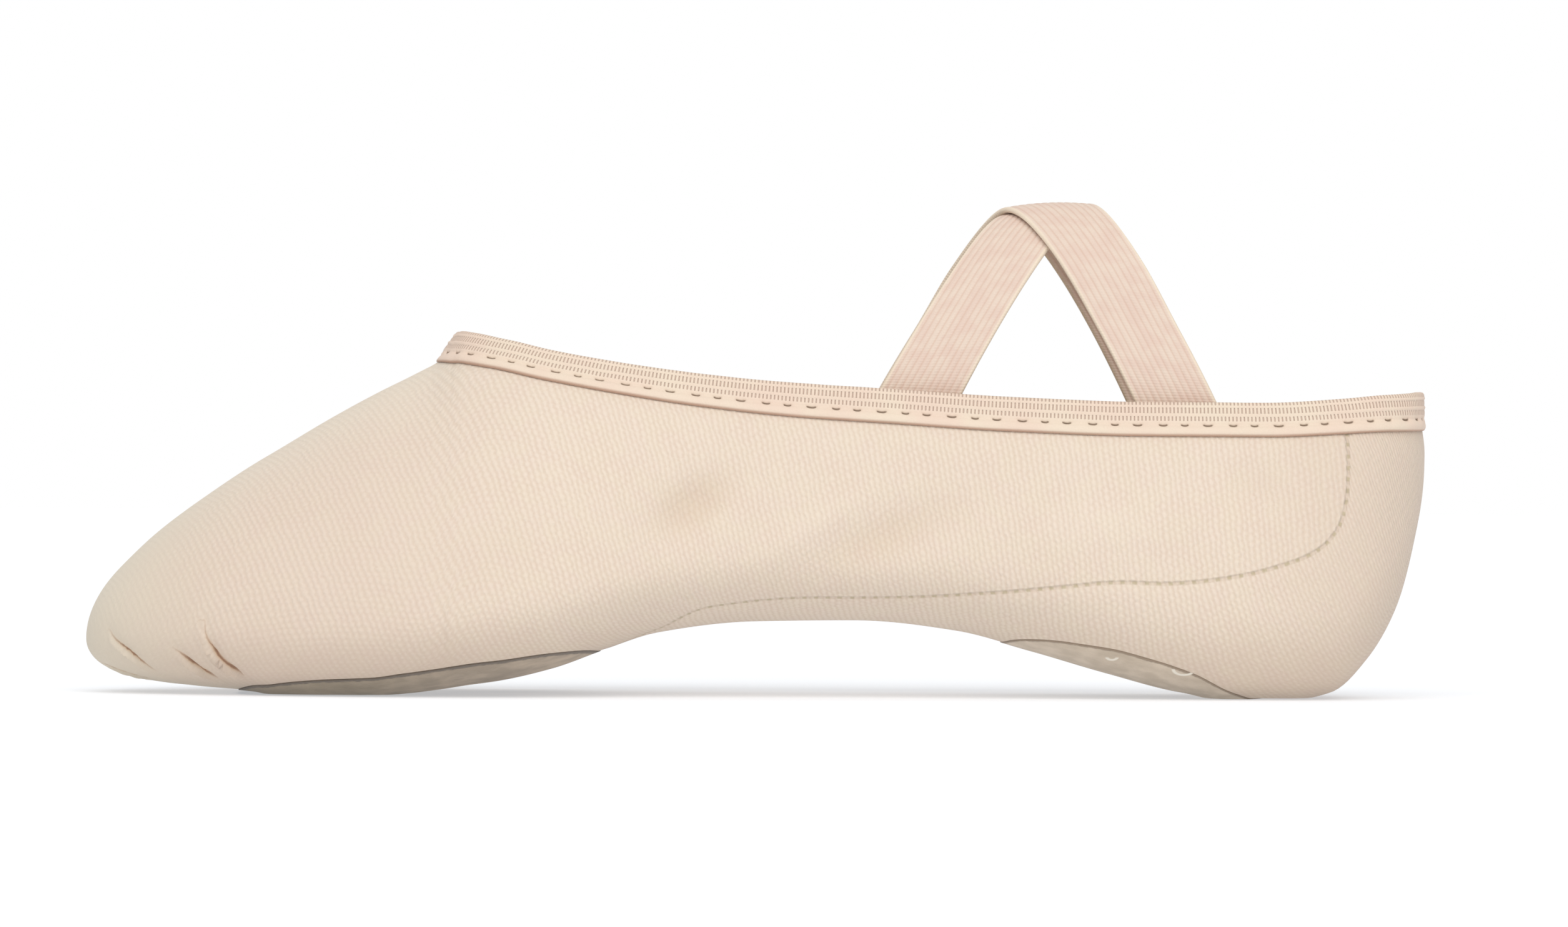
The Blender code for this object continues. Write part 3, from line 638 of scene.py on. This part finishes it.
def piece(name, bm, *finishes, smooth_angle=50):
    """A shown object from a bmesh, shaded smooth but for its sharp edges."""
    mesh = bpy.data.meshes.new(name)
    bm.to_mesh(mesh)
    bm.free()
    mesh.shade_smooth()
    mesh.set_sharp_from_angle(angle=math.radians(smooth_angle))
    for finish in finishes:
        mesh.materials.append(finish)
    made = bpy.data.objects.new(name, mesh)
    bpy.context.scene.collection.objects.link(made)
    return made


def apply_modifiers(made):
    """Bakes an object's modifiers into its mesh."""
    bpy.context.view_layer.update()
    graph = bpy.context.evaluated_depsgraph_get()
    made.data = bpy.data.meshes.new_from_object(made.evaluated_get(graph), depsgraph=graph)
    made.modifiers.clear()


def patch_outline(table, start, length, width, margin, rows):
    """A sole patch's outline: (x, half width) for each row, margin outside its named size."""
    share = cosine_places(0, 1, rows)
    x = along(start) - margin + (length + 2 * margin) * share
    return np.column_stack([x, through(table, 1, share) * (width / 2 + margin)])


FOREFOOT_SOLE = (0.1142, 0.0650, 0.0588)   # start as a share of LENGTH, length, width
HEEL_SOLE = (0.6830, 0.0475, 0.045)
FOREFOOT_OUTLINE = [
    # share of the length, share of the half width
    (0.0000, 0.00),
    (0.0062, 0.29),
    (0.0215, 0.45),
    (0.0523, 0.61),
    (0.1015, 0.735),
    (0.1692, 0.833),
    (0.2554, 0.905),
    (0.3585, 0.949),
    (0.5369, 0.997),
    (0.6554, 1.00),
    (0.7785, 0.959),
    (0.8585, 0.895),
    (0.9246, 0.776),
    (0.9754, 0.561),
    (0.9938, 0.34),
    (1.0000, 0.00),
]
HEEL_OUTLINE = [
    (0.000, 0.00),
    (0.042, 0.60),
    (0.126, 0.80),
    (0.263, 0.93),
    (0.453, 1.00),
    (0.580, 0.99),
    (0.714, 0.92),
    (0.850, 0.72),
    (0.940, 0.47),
    (1.000, 0.00),
]
PATCHES = {"forefoot": (FOREFOOT_OUTLINE, FOREFOOT_SOLE), "heel": (HEEL_OUTLINE, HEEL_SOLE)}
OPENING_ROWS = 60

canvas_bm, canvas_marks = shape_canvas()
canvas_tree = BVHTree.FromBMesh(canvas_bm)
upper = piece("canvas_upper", canvas_bm, make_canvas_finish(), make_lining_finish())
for name, values in canvas_marks.items():
    mark = upper.data.attributes.new(name, "FLOAT", "POINT")
    mark.data.foreach_set("value", values.astype(np.float32))
wall = upper.modifiers.new("wall", "SOLIDIFY")
wall.thickness = WALL
wall.offset = -1
wall.material_offset = 1
for outline, size in PATCHES.values():
    half_ring = patch_outline(outline, *size, 0, OPENING_ROWS)
    cutter_bm = bmesh.new()
    ring = [cutter_bm.verts.new((x, -y, -WALL)) for x, y in half_ring]
    ring += [cutter_bm.verts.new((x, y, -WALL)) for x, y in half_ring[-2:0:-1]]
    tall = bmesh.ops.extrude_face_region(cutter_bm, geom=[cutter_bm.faces.new(ring)])
    lifted = [part for part in tall["geom"] if isinstance(part, bmesh.types.BMVert)]
    bmesh.ops.translate(cutter_bm, verts=lifted, vec=(0, 0, INSTEP_HEIGHT / 3))
    bmesh.ops.recalc_face_normals(cutter_bm, faces=cutter_bm.faces)
    cutter_mesh = bpy.data.meshes.new("sole_cutter")
    cutter_bm.to_mesh(cutter_mesh)
    cutter_bm.free()
    cutter = bpy.data.objects.new("sole_cutter", cutter_mesh)
    bpy.context.scene.collection.objects.link(cutter)
    cut = upper.modifiers.new("opening", "BOOLEAN")
    cut.operation = "DIFFERENCE"
    cut.solver = "EXACT"
    cut.object = cutter
apply_modifiers(upper)
for cutter in [o for o in bpy.data.objects if o.name.startswith("sole_cutter")]:
    bpy.data.objects.remove(cutter)
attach(upper, "root")
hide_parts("upper")

# Binding. One elastic band folded over the canvas edge and sewn through: a ribbed band with two smooth
# cords, a row of stitches pulled into a groove, and a soft rolled edge below. Its two faces are one
# closed form whose cross-section runs round the whole collar.
BINDING_THICK = 0.0010
BINDING_STEP = 0.22 * MM
RIB = 0.67                 # one rib along the collar, in mm
STITCH = 4.13              # one stitch along the collar, in mm
INNER_LEG = 9.0            # drop given in the UV map to the inner leg, past every row of ribs
BINDING_PROFILE = [
    # drop from the canvas edge and distance out from the canvas, in mm
    (-1.32, -0.60), (-1.34, 0.20), (-1.26, 0.62), (-0.98, 0.86), (-0.60, 0.94), (-0.42, 1.02),
    (-0.25, 1.07), (-0.08, 1.01), (0.06, 0.93), (0.35, 0.98), (0.70, 0.98), (0.98, 0.93), (1.10, 1.02),
    (1.32, 1.11), (1.55, 1.02), (1.68, 0.92), (2.10, 0.96), (2.50, 0.92), (2.78, 0.88), (3.05, 0.79),
    (3.16, 0.75), (3.28, 0.73), (3.39, 0.74), (3.50, 0.78), (3.72, 0.94), (4.05, 1.06), (4.45, 1.09),
    (4.85, 1.00), (5.16, 0.80),
    (5.38, 0.54), (5.47, 0.30), (5.40, 0.10), (4.60, 0.10), (2.40, 0.10), (0.20, 0.10), (-0.14, 0.02),
    (-0.14, -1.22), (0.20, -1.31), (2.20, -1.31), (4.20, -1.31), (4.26, -1.70), (4.16, -2.05),
    (3.20, -2.25), (2.20, -2.30), (1.00, -2.32), (0.00, -2.20), (-0.70, -1.90), (-1.15, -1.35),
]
LEVELS = np.arange(0, 6.4, 0.8) * MM


def round_mean(values, reach):
    """Values round a closed ring, each replaced by the mean of its neighbours within reach."""
    return sum(np.roll(values, shift, axis=0) for shift in range(-reach, reach + 1)) / (2 * reach + 1)


def collar_ring(step):
    """Even steps round the canvas edge, and the seats and normals of the canvas below each of them."""
    side = collar_edge(EDGE_STEPS)
    loop = np.vstack([side, side[-2:0:-1] * [1, -1, 1], side[:1]])
    length = run_of(loop)[-1]
    count = round(length / step)
    ring = round_mean(points_at(loop, length * np.arange(count) / count), 3)
    facing = round_mean(np.array([canvas_tree.find_nearest(point)[1] for point in ring]), 8)
    ahead = np.roll(ring, -1, axis=0) - np.roll(ring, 1, axis=0)
    down = np.cross(ahead, facing)
    down /= np.linalg.norm(down, axis=1)[:, None]
    down[down[:, 2] > 0] *= -1
    seats, normals = [], []
    for level in LEVELS:
        found = [canvas_tree.find_nearest(point) for point in ring + down * level]
        seats.append(round_mean(np.array([hit[0] for hit in found]), 4))
        normals.append(round_mean(np.array([hit[1] for hit in found]), 8))
    normals = np.array(normals)
    return np.array(seats), normals / np.linalg.norm(normals, axis=2)[:, :, None], down, length / MM


def make_binding(finish):
    seats, normals, down, length = collar_ring(BINDING_STEP)
    count = seats.shape[1]
    ribs = round(length / RIB)
    stitches = round(length / STITCH)
    profile = np.array(BINDING_PROFILE + BINDING_PROFILE[:1])
    bm, station, row = grid_of(count, len(profile) - 1)
    share = station / count
    ring = station % count
    drop, out = profile[row].T
    from_stitch = (share * stitches + 0.06 * np.sin(share * 211)) % 1 - 0.5
    along_stitch = np.abs(from_stitch) * STITCH
    sag = 3.42 - 0.28 * (along_stitch / 0.9) ** 2
    pit = smooth_step(0.95, 0.55, along_stitch) * smooth_step(0.28, 0.05, np.abs(drop - sag)) * (out > 0)
    pucker = smooth_step(2.1, 0.0, along_stitch) * np.exp(-((drop - 3.3) / 1.1) ** 2) * (out > 0.5)
    wobble = np.array([noise.noise(Vector((s * length / 6, d / 2, 3.0))) for s, d in zip(share, drop)])
    # The elastic is stretched round the throat and the heel, so its rolled edge lies flatter there.
    at_throat = smooth_step(0.045, 0.0, np.abs((share + 0.5) % 1 - 0.5))
    at_heel = smooth_step(0.040, 0.0, np.abs(share - 0.5))
    flatter = (0.50 * at_throat + 0.28 * at_heel) * smooth_step(3.3, 4.1, drop) * (out > 0.2)
    out = out * (1 - flatter) - 0.30 * pit - 0.14 * pucker + 0.06 * wobble * (out > 0.5)
    level = np.clip(drop * MM / (LEVELS[1] - LEVELS[0]), 0, len(LEVELS) - 1.001)
    low = level.astype(int)
    part = (level - low)[:, None]
    seat = seats[low, ring] * (1 - part) + seats[low + 1, ring] * part
    normal = normals[low, ring] * (1 - part) + normals[low + 1, ring] * part
    above = np.minimum(drop, 0)[:, None] * MM
    spots = seat + down[ring] * above + normal * out[:, None] * MM
    lay_uv(bm, "band", np.column_stack([share * ribs, np.where(profile[row, 1] > -1, drop, INNER_LEG)]))
    pits = bm.verts.layers.float.new("pit")
    for vert, deep in zip(bm.verts, pit):
        vert[pits] = deep
    move_to(bm, spots)
    close_up(bm, JOIN / 2.5)
    return piece("collar_binding", bm, finish, smooth_angle=60)


def make_binding_finish():
    """Knitted elastic: matt ribs with dark gaps between them, smooth cords, brown dents at stitches."""
    made, add = finish_of("elastic binding", Roughness=0.8, IOR=1.45, Specular_IOR_Level=0.3,
                          Sheen_Weight=0.1, Sheen_Roughness=0.5)
    u, v, _ = add("axes", add("uv", uv_map="band")).node.outputs
    wave = add("COSINE", add("MULTIPLY", u, 2 * math.pi))
    shifted = add("MULTIPLY", wave, -1.0)
    gaps = []
    for low, high, rib in ((-1.36, -0.50, wave), (0.0, 1.08, wave), (1.70, 2.55, shifted)):
        inside = add("MULTIPLY", add("ease", v, low - 0.05, low + 0.12),
                     add("ease", v, high + 0.05, high - 0.12))
        gaps.append(add("MULTIPLY", inside, add("ease", rib, -0.35, -0.95)))
    gap = add("ADD", gaps[0], add("ADD", gaps[1], gaps[2]))
    spot = add("spot")
    mottle = add("noise", spot, 1 / (11.11 * MM), 3.0)
    band = add("blend", add("ease", mottle, 0.35, 0.65), "DFC9B7", "E0CFBB")
    band = add("blend", add("MULTIPLY", gap, 0.62), band, "BF9B86")
    pit = add("mark", attribute_name="pit")
    band = add("blend", add("ease", pit, 0.15, 0.75, 0.0, 0.8), band, "77624F")
    # A dark line under the rolled edge, where it turns in to the canvas, is painted shade.
    in_fold = add("MULTIPLY", add("ease", v, 5.0, 5.44), add("ease", v, 6.0, 5.6))
    band = add("blend", add("MULTIPLY", in_fold, 0.75), band, "A87F68")
    # The fibres are drawn 0.4 mm wide, because real ones are too fine to show.
    fibres = add("noise", spot, 1 / (0.3846 * MM), 2.0)
    height = add("MULTIPLY_ADD", gap, -1.0, add("MULTIPLY", fibres, 0.35))
    return finished(made, band, height, 0.22 * MM, 0.9)


binding = make_binding(make_binding_finish())
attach(binding, "root")
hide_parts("binding")

# Suede soles. Two split-leather patches glued over the openings, nap outside. The forefoot one is
# scuffed grey and its cut edge frays, the heel one is cleaner. Each is a thin bowed layer.
SOLE_ROWS = 150
SOLE_COLUMNS = 70
GLUE_SMEARS = [(63.4, 7.6, 0.9), (76.1, 5.6, 1.9)]    # x and z of each one's middle and size, in mm


def thickened_height(x, y, distance):
    """Height of a face that lies a distance above the underside, measured square to it."""
    reach = LENGTH / 1000
    slope_x = (underside(x + reach, y) - underside(x - reach, y)) / (2 * reach)
    slope_y = (underside(x, y + reach) - underside(x, y - reach)) / (2 * reach)
    return np.maximum(underside(x, y), SUEDE_PROUD) + distance * np.sqrt(1 + slope_x ** 2 + slope_y ** 2)


def make_layer(name, points, lower, upper, rounding, finish):
    """A thin layer on the underside, with rounded edges. lower and upper give its two faces' heights
    from x, y and the distance to its outline."""
    rows = len(points) - 1
    bm = bmesh.new()
    bmesh.ops.create_grid(bm, x_segments=rows, y_segments=SOLE_COLUMNS, size=0.5)
    for vert in bm.verts:
        x, half = points[round((vert.co.x + 0.5) * rows)]
        vert.co = (x, math.sin(math.pi * vert.co.y) * half, 0)
    bmesh.ops.remove_doubles(bm, verts=bm.verts, dist=JOIN)
    rim = curve(np.vstack([points, points[-2::-1] * [1, -1]]), 0.4 * MM)
    tree = tree_of(np.column_stack([rim, np.zeros(len(rim))]))
    flat = np.array([vert.co for vert in bm.verts])
    edge = np.array([tree.find(spot)[2] for spot in flat])
    inside = flat[:, 1] ** 2 < (np.interp(flat[:, 0], points[:, 0], points[:, 1]) * 0.9999) ** 2
    edge = np.where(inside, edge, 0)
    turn = rounding * (1 - np.sqrt(1 - (1 - np.clip(edge / rounding, 0, 1)) ** 2))
    marks = bm.verts.layers.float.new("edge_mm")
    bm.verts.ensure_lookup_table()
    low = lower(flat[:, 0], flat[:, 1]) + turn
    high = upper(flat[:, 0], flat[:, 1]) - turn
    for vert, z, near in zip(bm.verts, low, edge):
        vert.co.z = z
        vert[marks] = near / MM
    raised = bmesh.ops.extrude_face_region(bm, geom=bm.faces[:])
    lifted = [part for part in raised["geom"] if isinstance(part, bmesh.types.BMVert)]
    height_at = {(round(x, 8), round(y, 8)): z for (x, y, _), z in zip(flat, high)}
    for vert in lifted:
        vert.co.z = height_at[(round(vert.co.x, 8), round(vert.co.y, 8))]
    bmesh.ops.recalc_face_normals(bm, faces=bm.faces)
    return piece(name, bm, finish, smooth_angle=70)


def make_suede_finish(name, dark, light, edge_colour, edge_width, rub, soil):
    """Suede: a matt nap in two tones with rubbed places, soiled towards the toe, with a dark cut edge."""
    made, add = finish_of(name, Roughness=1.0, IOR=1.4, Specular_IOR_Level=0.1,
                          Sheen_Weight=0.25, Sheen_Roughness=0.8)
    # Nap lying in tufts of 4 mm, rubbed in places of 17 mm, frayed at its edge by 1 mm. Its fibres are
    # too fine to show, so they are drawn 0.6 mm wide.
    spot = add("spot")
    nap = add("noise", spot, 1 / (3.846 * MM), 6.0)
    rubbed = add("noise", spot, 1 / (16.67 * MM), 3.0)
    tone = add("MULTIPLY_ADD", rubbed, rub, add("MULTIPLY", nap, 1 - rub))
    hide = add("blend", add("ease", tone, 0.36, 0.66), dark, light)
    x, y, _ = add("axes", spot).node.outputs
    hide = add("blend", add("ease", x, -0.050, -0.075, 0.0, soil), hide, "786848")
    fray = add("noise", spot, 1 / (1.111 * MM), 2.0)
    from_edge = add("MULTIPLY_ADD", fray, -edge_width, add("mark", attribute_name="edge_mm"))
    hide = add("blend", add("ease", from_edge, edge_width / 2, -0.05, 0.0, 0.85), hide, edge_colour)
    # Crescents of dried glue near the cut edge of the heel patch, on the near side: real glue, painted
    # pale as a highlight of its gloss.
    near_side = add("ease", y, 0.0, -0.004)
    for smear_x, smear_z, size in GLUE_SMEARS:
        from_centre = add("vector", spot, (smear_x * MM, 0, smear_z * MM), operation="SUBTRACT")
        flat = add("vector", from_centre, (1, 0, 1.7), operation="MULTIPLY")
        band = add("ABSOLUTE", add("SUBTRACT", add("length", flat), size * MM))
        below = add("ease", add("axes", flat).node.outputs[2], 0.2 * MM, -0.5 * MM)
        smear = add("MULTIPLY", add("ease", band, 0.42 * MM, 0.15 * MM), below)
        hide = add("blend", add("MULTIPLY", smear, near_side), hide, "E9E1D2")
    fibres = add("noise", spot, 1 / (0.5556 * MM), 3.0)
    return finished(made, hide, add("ADD", fibres, nap), 0.15 * MM, 0.8)


sole_finishes = {
    "forefoot": make_suede_finish("worn suede", "9A8872", "C0AC94", "4E4031", 1.3, 0.5, 0.55),
    "heel": make_suede_finish("suede", "BBAA94", "D0BFAA", "85705A", 0.6, 0.25, 0.0),
}
for part, (outline, size) in PATCHES.items():
    suede = make_layer(part + "_suede", patch_outline(outline, *size, -0.12 * MM, SOLE_ROWS),
                       lambda x, y: np.maximum(underside(x, y) - SUEDE_PROUD, 0),
                       lambda x, y: thickened_height(x, y, WALL), 0.25 * MM, sole_finishes[part])
    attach(suede, "root")
    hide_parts(part + "_sole")

# Insoles. Two thin foam pads covered in brushed cotton, glued inside over the patches. They are a
# little fuller in the middle than at their pressed edge.
INSOLE_THICK = 0.0015
INSOLE_GAP = 0.0005
INSOLE_MARGIN = 0.0004


def make_insole_finish():
    """Brushed cotton over foam: a plain weave with a soft nap, slightly soiled in the middle. Its
    threads are too fine to show, so they are drawn 0.9 mm apart."""
    made, add = finish_of("insole cotton", Roughness=0.95, IOR=1.45, Specular_IOR_Level=0.2,
                          Sheen_Weight=0.15, Sheen_Roughness=0.7)
    spot = add("spot")
    x, y, _ = add("axes", spot).node.outputs
    woven = cloth_height(add, add("MULTIPLY", x, 1 / MM), add("MULTIPLY", y, 1 / MM), 0.9, 0.9, 1.0)
    soil = add("noise", spot, 1 / (18.18 * MM), 4.0)
    cloth = add("blend", add("ease", soil, 0.35, 0.70), "DCCAB6", "EBDDCB")
    cloth = add("blend", add("ease", woven, 0.0, 1.0, 0.25, 0.0), cloth, "B9A38C")
    pressed = add("ease", add("mark", attribute_name="edge_mm"), 1.2, 0.2, 0.0, 0.35)
    return finished(made, add("blend", pressed, cloth, "B09A82"), woven, 0.08 * MM, 0.6)


insole_finish = make_insole_finish()
for part, (outline, size) in PATCHES.items():
    insole = make_layer(part + "_pad", patch_outline(outline, *size, INSOLE_MARGIN, SOLE_ROWS),
                        lambda x, y: thickened_height(x, y, WALL + INSOLE_GAP),
                        lambda x, y: thickened_height(x, y, WALL + INSOLE_GAP + INSOLE_THICK),
                        0.7 * MM, insole_finish)
    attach(insole, "root")
    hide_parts(part + "_insole")

# Straps. Two flat elastics, ribbed lengthwise, that cross over the instep. Each runs from the inside
# of the near quarter to the inside of the far one and is sewn there under the binding.
STRAP_WIDTH = 0.0135
STRAP_THICK = 0.001
STRAP_TOP = 0.0888
STRAP_LEAN = 0.001
RIDGE_RADIUS = 0.052
STRAP_FOOT = 0.013
FRONT_FOOT = 0.6187
REAR_FOOT = 0.8138
RIDGE_PLACE = 0.7281
ARCH_SQUARENESS = 1.8
FOOT_SHARE = 0.3
STRAP_BEND = 0.24
LIFT_REACH = 0.34
LIFT_FADE = 0.30
STRAP_ROWS = 220
STRAP_COLUMNS = 56
STRAP_RIBS = 12
RIB_RELIEF = 0.10 * MM
SHARE_STEPS = 520
X_STEP = 0.5 * MM
SPARE = 14 * MM            # how far the arch is worked out past the straps' middles
ROUNDING = 15              # shares over which the arch is rounded, an odd count


def strap_profile(x):
    """The straps' arch over one place, as (y, z) points and the share of the arch each has reached."""
    inwards = WALL + 2 * CLEAR + BINDING_THICK + STRAP_THICK / 2
    y, z, down = section(place_of(x), 120).T
    back = inwards + pulled_in(down)
    facing = np.column_stack([-np.gradient(z), np.gradient(y)])
    facing /= np.linalg.norm(facing, axis=1)[:, None]
    foot = np.column_stack([y, z]) - facing * back[:, None]
    fold = CLEAR + BINDING_THICK
    over = foot[0] + (foot[0] - foot[1]) / np.linalg.norm(foot[0] - foot[1]) * fold
    foot = np.vstack([over, foot])
    down = np.concatenate([[0], down + fold])
    deep = int(np.searchsorted(down, STRAP_FOOT))
    foot = foot[:deep + 1]
    half, start = foot[0]
    summit = STRAP_TOP - STRAP_THICK * 3 / 2 - CLEAR
    rise = summit - (x - along(RIDGE_PLACE)) ** 2 / (2 * RIDGE_RADIUS) - start
    angle = np.linspace(0, math.pi, 121)
    power = 2 / ARCH_SQUARENESS
    arch_y = -half * np.sign(np.cos(angle)) * np.abs(np.cos(angle)) ** power
    arch_z = start + rise * np.abs(np.sin(angle)) ** power
    arch_y -= STRAP_LEAN * ((arch_z - start) / rise) ** 2
    arch = np.column_stack([arch_y, arch_z])
    run = run_of(arch)
    reached = 2 * run / run[-1] - 1
    tail = FOOT_SHARE * down[1:deep + 1] / down[deep]
    path = np.vstack([foot[:0:-1] * [-1, 1], arch, foot[1:]])
    return path, np.concatenate([-1 - tail[::-1], reached, 1 + tail])


strap_x = np.arange(along(FRONT_FOOT) - SPARE, along(REAR_FOOT) + SPARE, X_STEP)
strap_shares = np.linspace(-1 - FOOT_SHARE, 1 + FOOT_SHARE, SHARE_STEPS + 1)
strap_paths = []
for x in strap_x:
    path, shares = strap_profile(x)
    strap_paths.append([np.interp(strap_shares, shares, column) for column in path.T])
strap_paths = np.array(strap_paths)
# The cloth's own stiffness rounds the arch where it leaves the foot of the strap.
kernel = np.hanning(ROUNDING) / np.hanning(ROUNDING).sum()
for paths in strap_paths:
    for line in paths:
        line[ROUNDING // 2:-(ROUNDING // 2)] = np.convolve(line, kernel, mode="valid")


def strap_spots(x, share):
    """Points on the straps' arch at arrays of x and share."""
    a = np.clip((x - strap_x[0]) / X_STEP, 0, len(strap_x) - 1.001)
    b = (share + 1 + FOOT_SHARE) / (2 + 2 * FOOT_SHARE) * SHARE_STEPS
    b = np.clip(b, 0, SHARE_STEPS - 0.001)
    i, j = a.astype(int), b.astype(int)
    s, t = a - i, b - j
    y, z = [(grid[i, j] * (1 - s) + grid[i + 1, j] * s) * (1 - t)
            + (grid[i, j + 1] * (1 - s) + grid[i + 1, j + 1] * s) * t
            for grid in (strap_paths[:, 0], strap_paths[:, 1])]
    return np.stack([x, y, z], axis=-1)


def make_strap(name, start, end, lift, finish):
    """One strap from its near foot to its far one, raised by lift where the two cross."""
    middle, swing = (along(start) + along(end)) / 2, (along(end) - along(start)) / 2
    share = np.linspace(-1 - FOOT_SHARE, 1 + FOOT_SHARE, STRAP_ROWS + 1)
    held = np.clip(share, -1, 1)
    path, shares = strap_profile(middle)
    half_run = run_of(path[np.abs(shares) <= 1])[-1] / 2
    x = middle + swing * (held + STRAP_BEND * (np.sin(math.pi * held / 2) - held))
    slope = swing * (1 + STRAP_BEND * (math.pi / 2 * np.cos(math.pi * held / 2) - 1)) / half_run
    across = np.linspace(-0.5, 0.5, STRAP_COLUMNS + 1)
    width = STRAP_WIDTH * np.sqrt(1 + slope ** 2)
    xs = x[:, None] + width[:, None] * across
    shares = np.broadcast_to(share[:, None], xs.shape)
    mid = strap_spots(xs, shares)
    ahead, aside = np.gradient(mid, axis=0), np.gradient(mid, axis=1)
    facing = np.cross(aside, ahead)
    facing /= np.linalg.norm(facing, axis=2)[:, :, None]
    over = lift * smooth_step(LIFT_REACH + LIFT_FADE, LIFT_REACH, np.abs(shares))
    outwards = np.sign(facing[STRAP_ROWS // 2, STRAP_COLUMNS // 2, 2])
    ribs = RIB_RELIEF * (np.abs(np.sin(math.pi * STRAP_RIBS * (across + 0.5))) - 1)
    ribs *= np.abs(across) < 0.46
    edge = np.sqrt(np.clip(1 - (np.maximum(np.abs(across) - 0.47, 0) / 0.03) ** 2, 0, 1))
    half_thick = (STRAP_THICK / 2 + ribs) * (0.15 + 0.85 * edge)
    top = mid + facing * (outwards * half_thick + outwards * over)[:, :, None]
    bottom = mid + facing * (-outwards * half_thick + outwards * over)[:, :, None]
    rings = np.concatenate([top, bottom[:, ::-1], top[:, :1]], axis=1)
    columns = rings.shape[1] - 1
    bm, row, column = grid_of(STRAP_ROWS, columns)
    length = run_of(mid[:, STRAP_COLUMNS // 2])[row]
    flat = np.where(column <= STRAP_COLUMNS, column, 2 * STRAP_COLUMNS + 1 - column)
    from_edge = np.maximum(flat, 0) / STRAP_COLUMNS * STRAP_WIDTH
    lay_uv(bm, "strap", np.column_stack([length, from_edge]) / MM)
    move_to(bm, rings[row, column])
    close_up(bm, JOIN / 2.5)
    bmesh.ops.holes_fill(bm, edges=[edge for edge in bm.edges if edge.is_boundary], sides=0)
    bmesh.ops.recalc_face_normals(bm, faces=bm.faces)
    return piece(name, bm, finish, smooth_angle=55)


def make_strap_finish():
    """Woven elastic: cross threads over lengthwise cords, a faint satin, yellowed edges. The threads are
    too fine to show, so they are drawn 0.55 mm apart."""
    made, add = finish_of("strap elastic", Roughness=0.72, IOR=1.45, Specular_IOR_Level=0.35,
                          Sheen_Weight=0.1, Sheen_Roughness=0.4)
    uv = add("uv", uv_map="strap")
    u, v, _ = add("axes", uv).node.outputs
    width = STRAP_WIDTH / MM
    cord = add("COSINE", add("MULTIPLY", v, 2 * math.pi * STRAP_RIBS / width))
    threads = add("COSINE", add("MULTIPLY", u, 2 * math.pi / 0.55))
    mottle = add("noise", uv, 1 / 2.857, 3.0)
    base = add("blend", add("ease", mottle, 0.35, 0.65), "D8C1B2", "DBC8B8")
    off_middle = add("ABSOLUTE", add("SUBTRACT", v, width / 2))
    margin = add("ease", off_middle, width / 2 - 0.75, width / 2 - 0.35)
    groove = add("MULTIPLY", add("ease", cord, 0.35, 1.0, 0.0, 0.38), add("SUBTRACT", 1.0, margin))
    grooved = add("blend", groove, base, "C6A28D")
    edged = add("blend", add("MULTIPLY", margin, 0.6), grooved, "EADCC4")
    flat = add("MULTIPLY_ADD", margin, 0.5, -0.5)
    height = add("MULTIPLY_ADD", threads, 0.35, add("MULTIPLY", cord, flat))
    return finished(made, edged, height, 0.06 * MM, 0.7)


elastic = make_strap_finish()
for name, start, end, lift in (("front_strap", FRONT_FOOT, REAR_FOOT, 0),
                               ("rear_strap", REAR_FOOT, FRONT_FOOT, STRAP_THICK + CLEAR)):
    strap = make_strap(name.replace("strap", "elastic"), start, end, lift, elastic)
    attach(strap, "root")
    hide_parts(name)

# Floor, light and finish. The slipper stands on a white table that fades into a white ground. The light
# is a bright even room with a large soft lamp above the camera and a weaker one above and behind.
bpy.ops.mesh.primitive_plane_add(size=12)
floor = bpy.context.object
floor.name = "floor"
# The floor glows faintly pale blue, painted light that keeps its shadows light and bluish.
floor_finish, _ = finish_of("white floor", Roughness=1.0, Specular_IOR_Level=0.0,
                            Base_Color=linear("D0D0D0"), Emission_Color=linear("F3F8FF"),
                            Emission_Strength=0.40)
floor.data.materials.append(floor_finish)

world = bpy.data.worlds.new("studio")
bpy.context.scene.world = world
world.use_nodes = True
sky = world.node_tree
sky.nodes.clear()
soft_light = add_node(sky, "background", "FFFFFF", 0.47)
seen_white = add_node(sky, "background", "FFFFFF", 1.0)
ground = add_node(sky, "either", add_node(sky, "seen"), soft_light, seen_white)
sky.links.new(ground, sky.nodes.new("ShaderNodeOutputWorld").inputs[0])
for name, energy, wide, turned in (("key", 1.98, 60, (47, 0, 4)), ("back", 0.60, 70, (-30, 0, 0))):
    sun = bpy.data.lights.new(name, "SUN")
    sun.energy = energy
    sun.angle = math.radians(wide)
    lamp = bpy.data.objects.new(name, sun)
    lamp.rotation_euler = [math.radians(a) for a in turned]
    bpy.context.scene.collection.objects.link(lamp)
bpy.context.scene.view_settings.view_transform = "Standard"
